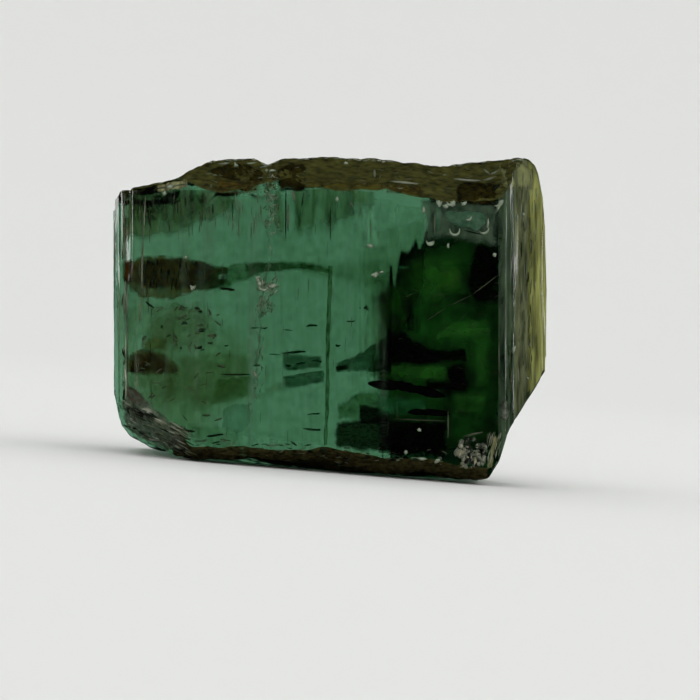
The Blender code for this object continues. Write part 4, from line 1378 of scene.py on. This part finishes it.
# %% Scatter the fine marks
slivers("left_edge_marks", scattered(1, 60, (-9.8, -9.1, 4.0, 12.5), 1.4, 0.07, 88, 3, (0.15, 0.9))
        + scattered(21, 46, (-9.8, -9.0, 3.2, 6.2), 0.6, 0.12, 80, 14, (0.0, 0.9))
        + scattered(2, 26, (-9.1, -8.1, 3.8, 12.5), 1.2, 0.05, 89, 2, (0.2, 0.66)))
slivers("drip_marks", scattered(3, 60, (-9.2, -5.3, 11.4, 13.0), 0.8, 0.06, 89, 3, (0.2, 0.55))
        + scattered(4, 22, (-5.2, -3.0, 11.3, 13.0), 0.9, 0.06, 89, 3, (0.45, 0.75)))
slivers("olive_marks", scattered(5, 22, (-8.1, -4.8, 6.0, 8.0), 0.3, 0.12, 20, 30, (0.15, 0.55)))
slivers("stain_streaks", scattered(22, 46, (-9.5, -6.3, 8.9, 10.0), 0.7, 0.09, 88, 5, (0.05, 0.3)))
slivers("left_flecks", scattered(23, 44, (-9.0, -4.8, 2.8, 8.0), 0.45, 0.12, 15, 35, (0.42, 0.56)))
slivers("corner_marks", scattered(6, 80, (-9.4, -6.4, 2.4, 3.7), 0.9, 0.1, -27, 7, (0.05, 1.0), -0.45))
slivers("rib_marks", scattered(7, 110, (8.35, 9.75, 4.6, 14.2), 0.9, 0.05, 89, 2, (0.45, 0.85))
        + scattered(8, 50, (7.9, 9.2, 4.6, 13.2), 0.5, 0.06, 88, 6, (0.2, 0.8)))
slivers("base_marks", scattered(9, 70, (-6.0, 5.2, 1.35, 2.0), 0.4, 0.09, 0, 12, (0.0, 0.7), -0.04))
slivers("top_marks", scattered(10, 34, (-9.0, 0.5, 13.3, 14.3), 0.4, 0.05, 0, 30, (0.2, 0.66))
        + scattered(11, 36, (0.5, 7.8, 12.9, 14.4), 0.4, 0.05, 0, 30, (0.2, 0.66)))
slivers("crack_marks", scattered(15, 70, (-3.0, -2.3, 11.2, 14.0), 0.32, 0.07, 75, 45, (0.35, 0.9))
        + scattered(16, 26, (-3.3, -2.4, 8.6, 9.3), 0.3, 0.09, 10, 40, (0.6, 1.0))
        + scattered(17, 40, (-3.4, -3.0, 3.8, 7.8), 0.3, 0.05, 85, 25, (0.4, 0.75))
        + scattered(20, 70, (-3.3, -2.5, 7.6, 9.0), 0.3, 0.06, 80, 35, (0.45, 0.8)))
slivers("crust_marks", scattered(12, 40, (7.05, 7.8, 0.8, 2.2), 0.6, 0.05, 75, 6, (0.3, 0.95)))
slivers("face_marks", scattered(13, 60, (-8.0, 3.0, 2.0, 12.6), 0.9, 0.03, 89, 2, (0.4, 0.6)))
slivers("dark_side_marks", scattered(14, 60, (3.0, 7.6, 2.8, 10.0), 0.5, 0.04, 0, 20, (0.15, 0.42)))


# %% Follow the top rim with glints
GLINT_CHANCE = 0.7
GLINT_DROP, GLINT_LENGTH = (0.1, 0.22), (0.8, 1.6)
GLINT_WIDTH, GLINT_TONES = (0.05, 0.12), (0.5, 0.85)


def rim_glints(seed, x_from, x_to, step=0.22):
    """Rows of pale slivers that follow the top rim, with gaps: painted highlights where the rim catches the
    light.
    """
    random = np.random.default_rng(seed)
    rows = []
    for x in np.arange(x_from, x_to, step):
        z1, z2 = (np.interp(at, *zip(*TOP_RIM)) - random.uniform(*GLINT_DROP) for at in (x, x + step))
        if random.uniform() < GLINT_CHANCE:
            x2 = x + step * random.uniform(*GLINT_LENGTH)
            rows.append((x, z1, x2, z2, random.uniform(*GLINT_WIDTH), random.uniform(*GLINT_TONES)))
    return rows


slivers("rim_glints", rim_glints(18, -5.6, 3.0) + rim_glints(19, 5.6, 8.6))


# %% Scatter chips with painted highlights inside the breaks
CHIP_WIDE, CHIP_TALL, CHIP_SUNK = (0.08, 0.42), (0.05, 0.16), (0.1, 0.3)
CHIP_TURN, CHIP_BEND = (-0.5, 0.5), (-0.6, 0.6)


def edge_chips(height, depth_from, depth_to, side, count, seed, x_from, x_to):
    """Small bent lenses scattered just inside a break."""
    random = np.random.default_rng(seed)
    shapes = []
    for _ in range(count):
        x = random.uniform(x_from, x_to)
        y = front_at(x) + random.uniform(depth_from, depth_to)
        wide, tall = random.uniform(*CHIP_WIDE), random.uniform(*CHIP_TALL)
        angle, bend = random.uniform(*CHIP_TURN), random.uniform(*CHIP_BEND)
        z = height(x, y) + side * random.uniform(*CHIP_SUNK)
        shapes.append(flake_shape(x, y, z, wide, tall, angle, bend))
    return shapes


# The pale chip finish paints the sparkle of these chips as painted highlights.
joined("top_chip_highlights", edge_chips(top_break, 0.2, 2.4, -1, 30, 4, -6.8, 9.0), chip_painted_highlight)
joined("base_chip_highlights", edge_chips(base_break, 0.15, 1.2, 1, 20, 9, -7.0, 6.0), chip_painted_highlight)

# %% [markdown]
# ## Frosting and fine lines
#
# The left side is worn into pale upright lines, and a patch at the upper right is frosted. The lines could
# be cut into the body, but streaky films just under the surface need far fewer points.

# %% Add the frosted skins
LINES_SHORT = 0.15  # how far the lines stop short of both breaks

left_lines = film_finish("left_lines", (0.1, 0.13, 0.09), (0.4, 0.44, 0.32), 0.0,
                         Per_mm=2.6, Stretch=24.0, Cover=1.02, Softness=0.08, Density=0.75)
face_lines = film_finish("face_lines", (0.12, 0.2, 0.13), (0.3, 0.4, 0.28), 0.0,
                         Per_mm=2.0, Stretch=30.0, Cover=1.12, Softness=0.12, Density=0.4)
left_points = along_section(lambda x, y: x < -8.4 and y < 9.6)
# The left side runs through the section's first point, so its two stretches are put end to end.
split = max(range(1, len(left_points)), key=lambda k: left_points[k] - left_points[k - 1])
if left_points[split] - left_points[split - 1] > 3:
    left_points = left_points[split:] + left_points[:split]
side_rind("left_lines", left_points, 0.08, left_lines, LINES_SHORT, LINES_SHORT)
front_points = along_section(lambda x, y: -8.4 < x < 2.6 and y < 1.2)
side_rind("front_lines", front_points, SIDE_INSET, face_lines, LINES_SHORT, LINES_SHORT)
film("frosted_patch", [(5.0, 12.4), (6.0, 12.4), (7.1, 12.3)],
     [(5.1, 11.8), (6.0, 11.4), (6.7, 11.2), (7.1, 11.7)], (0.15, 0.15), frost, 0.02)
print("left points:", len(left_points))

# %% [markdown]
# ## Matrix grains
#
# A small cluster of the host rock is stuck in the chipped corner at the lower right: pale and yellowish
# broken grains with dark gaps between them. Broken grains have flat faces, so they stay faceted. They are
# rock and not crystal, so they are a piece of their own.

# %% Grow the grains
GRAIN_CENTRE = (6.35, 1.35)
GRAIN_REACH = (0.72, 0.66)
GRAIN_COUNT = 120
GRAIN_RADII, GRAIN_SUNK = (0.04, 0.14), 0.7
GRAIN_ROUGH, GRAIN_PITCH = 0.9, 1.4
BRIGHT_SIDE, BRIGHT_FROM = 0.35, 0.75  # the grains this far left of the middle have at least this tone
MATRIX_TONES = [(0.0, (0.006, 0.007, 0.004)), (0.35, (0.03, 0.035, 0.02)), (0.55, (0.14, 0.16, 0.11)),
                (0.85, (0.4, 0.42, 0.32)), (1.0, (0.62, 0.58, 0.38))]


def matrix_finish():
    """Rock grains, each with its own tone from a value stored on it."""
    material, tree, shader = new_material("matrix_grain")
    plain(shader, Roughness=0.55)
    toned(tree, shader, MATRIX_TONES)
    bumped(tree, shader, grain_node(tree, per_mm=9.0), strength=0.5, distance=0.00004)
    return material


def rock_grain(centre, radius, seed):
    """A broken grain as points and faces."""
    bm = bmesh.new()
    bmesh.ops.create_icosphere(bm, subdivisions=1, radius=1.0)
    stretch = Vector((1.0, 0.8, 1.0 + 0.5 * math.sin(seed * 2.4)))
    points = []
    for vert in bm.verts:
        rough = 1 + GRAIN_ROUGH * noise.noise(vert.co * GRAIN_PITCH + Vector((seed * 3.1, 0, 0)))
        points.append(tuple(Vector(centre) + vert.co * stretch * radius * rough))
    faces = [tuple(v.index for v in face.verts) for face in bm.faces]
    bm.free()
    return points, faces


random = np.random.default_rng(12)
grains, tones = [], []
for k in range(GRAIN_COUNT):
    a, r = random.uniform(0, 2 * math.pi), math.sqrt(random.uniform(0, 1))
    x = GRAIN_CENTRE[0] + GRAIN_REACH[0] * r * math.cos(a)
    z = GRAIN_CENTRE[1] + GRAIN_REACH[1] * r * math.sin(a)
    radius = random.uniform(*GRAIN_RADII)
    grains.append(rock_grain((x, surface_depth(x, z) + radius * GRAIN_SUNK, z), radius, k))
    bright = BRIGHT_FROM if x < GRAIN_CENTRE[0] - BRIGHT_SIDE else 0.0
    tones += [random.uniform(bright, 1)] * len(grains[-1][0])
made = joined("matrix_grains", grains, matrix_finish())
made.data.shade_flat()
mark(made, "tone", tones)
print("grains:", len(grains))

# %% [markdown]
# ## A light tent
#
# Clear stones are shown in a tent: pale all round, so that every path out of the stone ends on something
# bright. A bowl with a flat floor makes it seamless from every side. What the faces mirror is a separate
# matter: black flags kill that glare, and only a few small highlights are kept. Here the flags are a black
# dome, and the highlights are soft panels inside it. Only mirrored rays see them, so the light that goes
# through the stone still comes from the tent.

# %% Make the helpers for the studio
def staged(name, points, faces, material):
    """A piece of the studio, in metres."""
    mesh = bpy.data.meshes.new(name)
    mesh.from_pydata(points, [], faces)
    mesh.shade_smooth()
    mesh.materials.append(material)
    made = bpy.data.objects.new(name, mesh)
    bpy.context.scene.collection.objects.link(made)
    return made


def lathe(profile, steps, name, material):
    """A surface turned about Z from (radius, height) pairs."""
    points = [(0, 0, profile[0][1])]
    for radius, height in profile[1:]:
        for k in range(steps):
            a = 2 * math.pi * k / steps
            points.append((radius * math.cos(a), radius * math.sin(a), height))
    faces = [(0, 1 + k, 1 + (k + 1) % steps) for k in range(steps)]
    for r in range(len(profile) - 2):
        for k in range(steps):
            a, b = 1 + r * steps + k, 1 + r * steps + (k + 1) % steps
            faces.append((a, a + steps, b + steps, b))
    return staged(name, points, faces, material)


def mirrored_only(made):
    """Lets only mirrored rays see a piece of the studio."""
    made.visible_camera = made.visible_transmission = made.visible_diffuse = False
    made.visible_volume_scatter = made.visible_shadow = False
    return made


def dull(name, colour, glow=0.0):
    """A matt studio surface, or a glowing panel."""
    material, _, shader = new_material(name)
    plain(shader, Base_Color=(*colour, 1), Roughness=1.0, Specular_IOR_Level=0.0)
    if glow:
        plain(shader, Emission_Color=(1, 1, 1, 1), Emission_Strength=glow)
    return material


# %% Stand the tent and the flags
TENT_RADIUS, TENT_BEND, TENT_WALL = 0.32, 0.2, 0.5
FLAGS_RADIUS = 0.3
BEND_STEPS, TENT_SIDES = 24, 96
DOME_STEPS, FLAGS_SIDES = 16, 64
FLOOR_DROP = 0.00002

tent_white = dull("tent_white", (0.88, 0.875, 0.87))
bend = [(TENT_RADIUS + TENT_BEND * math.sin(a), TENT_BEND * (1 - math.cos(a)))
        for a in np.linspace(0, math.pi / 2, BEND_STEPS)]
tent_profile = [(0, 0), (0.05, 0), (0.15, 0), *bend, (TENT_RADIUS + TENT_BEND, TENT_WALL)]
tent = lathe(tent_profile, TENT_SIDES, "floor", tent_white)
tent.location.z = -FLOOR_DROP

flag_black = dull("flag_black", (0.012, 0.012, 0.012))
arch = [(FLAGS_RADIUS * math.cos(a), FLAGS_RADIUS * math.sin(a))
        for a in np.linspace(0, math.pi / 2, DOME_STEPS)]
flags = mirrored_only(lathe([(0, 0), (0.1, 0), *arch], FLAGS_SIDES, "flags", flag_black))
flags.location.z = -FLOOR_DROP / 2
print("tent radius in metres:", TENT_RADIUS + TENT_BEND)


# %% Hang the soft panels and light the world
PANEL_GLOW, PANEL_DISTANCE = 3.0, 0.25
WORLD_COLOUR, WORLD_STRENGTH = (0.98, 1.0, 0.985, 1), 1.08


def panel(name, azimuth, elevation, wide, tall):
    """A soft panel that faces the crystal, inside the flags."""
    azimuth, elevation = math.radians(azimuth), math.radians(elevation)
    out = Vector((math.sin(azimuth) * math.cos(elevation), -math.cos(azimuth) * math.cos(elevation),
                  math.sin(elevation)))
    side = Vector((math.cos(azimuth), math.sin(azimuth), 0))
    up = side.cross(out)
    corners = [out * PANEL_DISTANCE + side * (wide / 2 * i) - up * (tall / 2 * j)
               for i, j in ((-1, -1), (1, -1), (1, 1), (-1, 1))]
    return mirrored_only(staged(name, corners, [(0, 1, 2, 3)], dull(name + "_glow", (0, 0, 0), PANEL_GLOW)))


panel("panel_left", -115, 12, 0.06, 0.2)
panel("panel_right", 100, 25, 0.05, 0.2)
panel("panel_top", 20, 72, 0.16, 0.05)

world = bpy.data.worlds.new("studio")
world.use_nodes = True
world.node_tree.nodes["Background"].inputs["Color"].default_value = WORLD_COLOUR
world.node_tree.nodes["Background"].inputs["Strength"].default_value = WORLD_STRENGTH
bpy.context.scene.world = world
bpy.context.scene.view_settings.view_transform = "Standard"

# %% Aim the camera
LENS = 135.0
SENSOR = 36.0
VIEW_WIDTH = 32.55
VIEW_DEPTH = 4.0
AIM = Vector((0.8835, VIEW_DEPTH, 6.0))

camera = bpy.data.objects.new("camera", bpy.data.cameras.new("camera"))
bpy.context.scene.collection.objects.link(camera)
camera.data.lens = LENS
camera.data.sensor_width = SENSOR
camera.data.clip_start = 0.001
camera_distance = VIEW_WIDTH * LENS / SENSOR
camera.matrix_world = (
    Matrix.Translation(to_world @ (AIM - Vector((0, camera_distance, 0))))
    @ Matrix.Rotation(LEAN, 4, "Y")
    @ Matrix.Rotation(math.pi / 2, 4, "X")
)
bpy.context.scene.camera = camera

print("camera distance in mm:", round(camera_distance, 1))

# %% Let light cross many surfaces
GLASS_BOUNCES, FILM_BOUNCES = 20, 32

cycles = bpy.context.scene.cycles
cycles.max_bounces = cycles.transmission_bounces = GLASS_BOUNCES
cycles.transparent_max_bounces = FILM_BOUNCES
print("bounces:", GLASS_BOUNCES, FILM_BOUNCES)
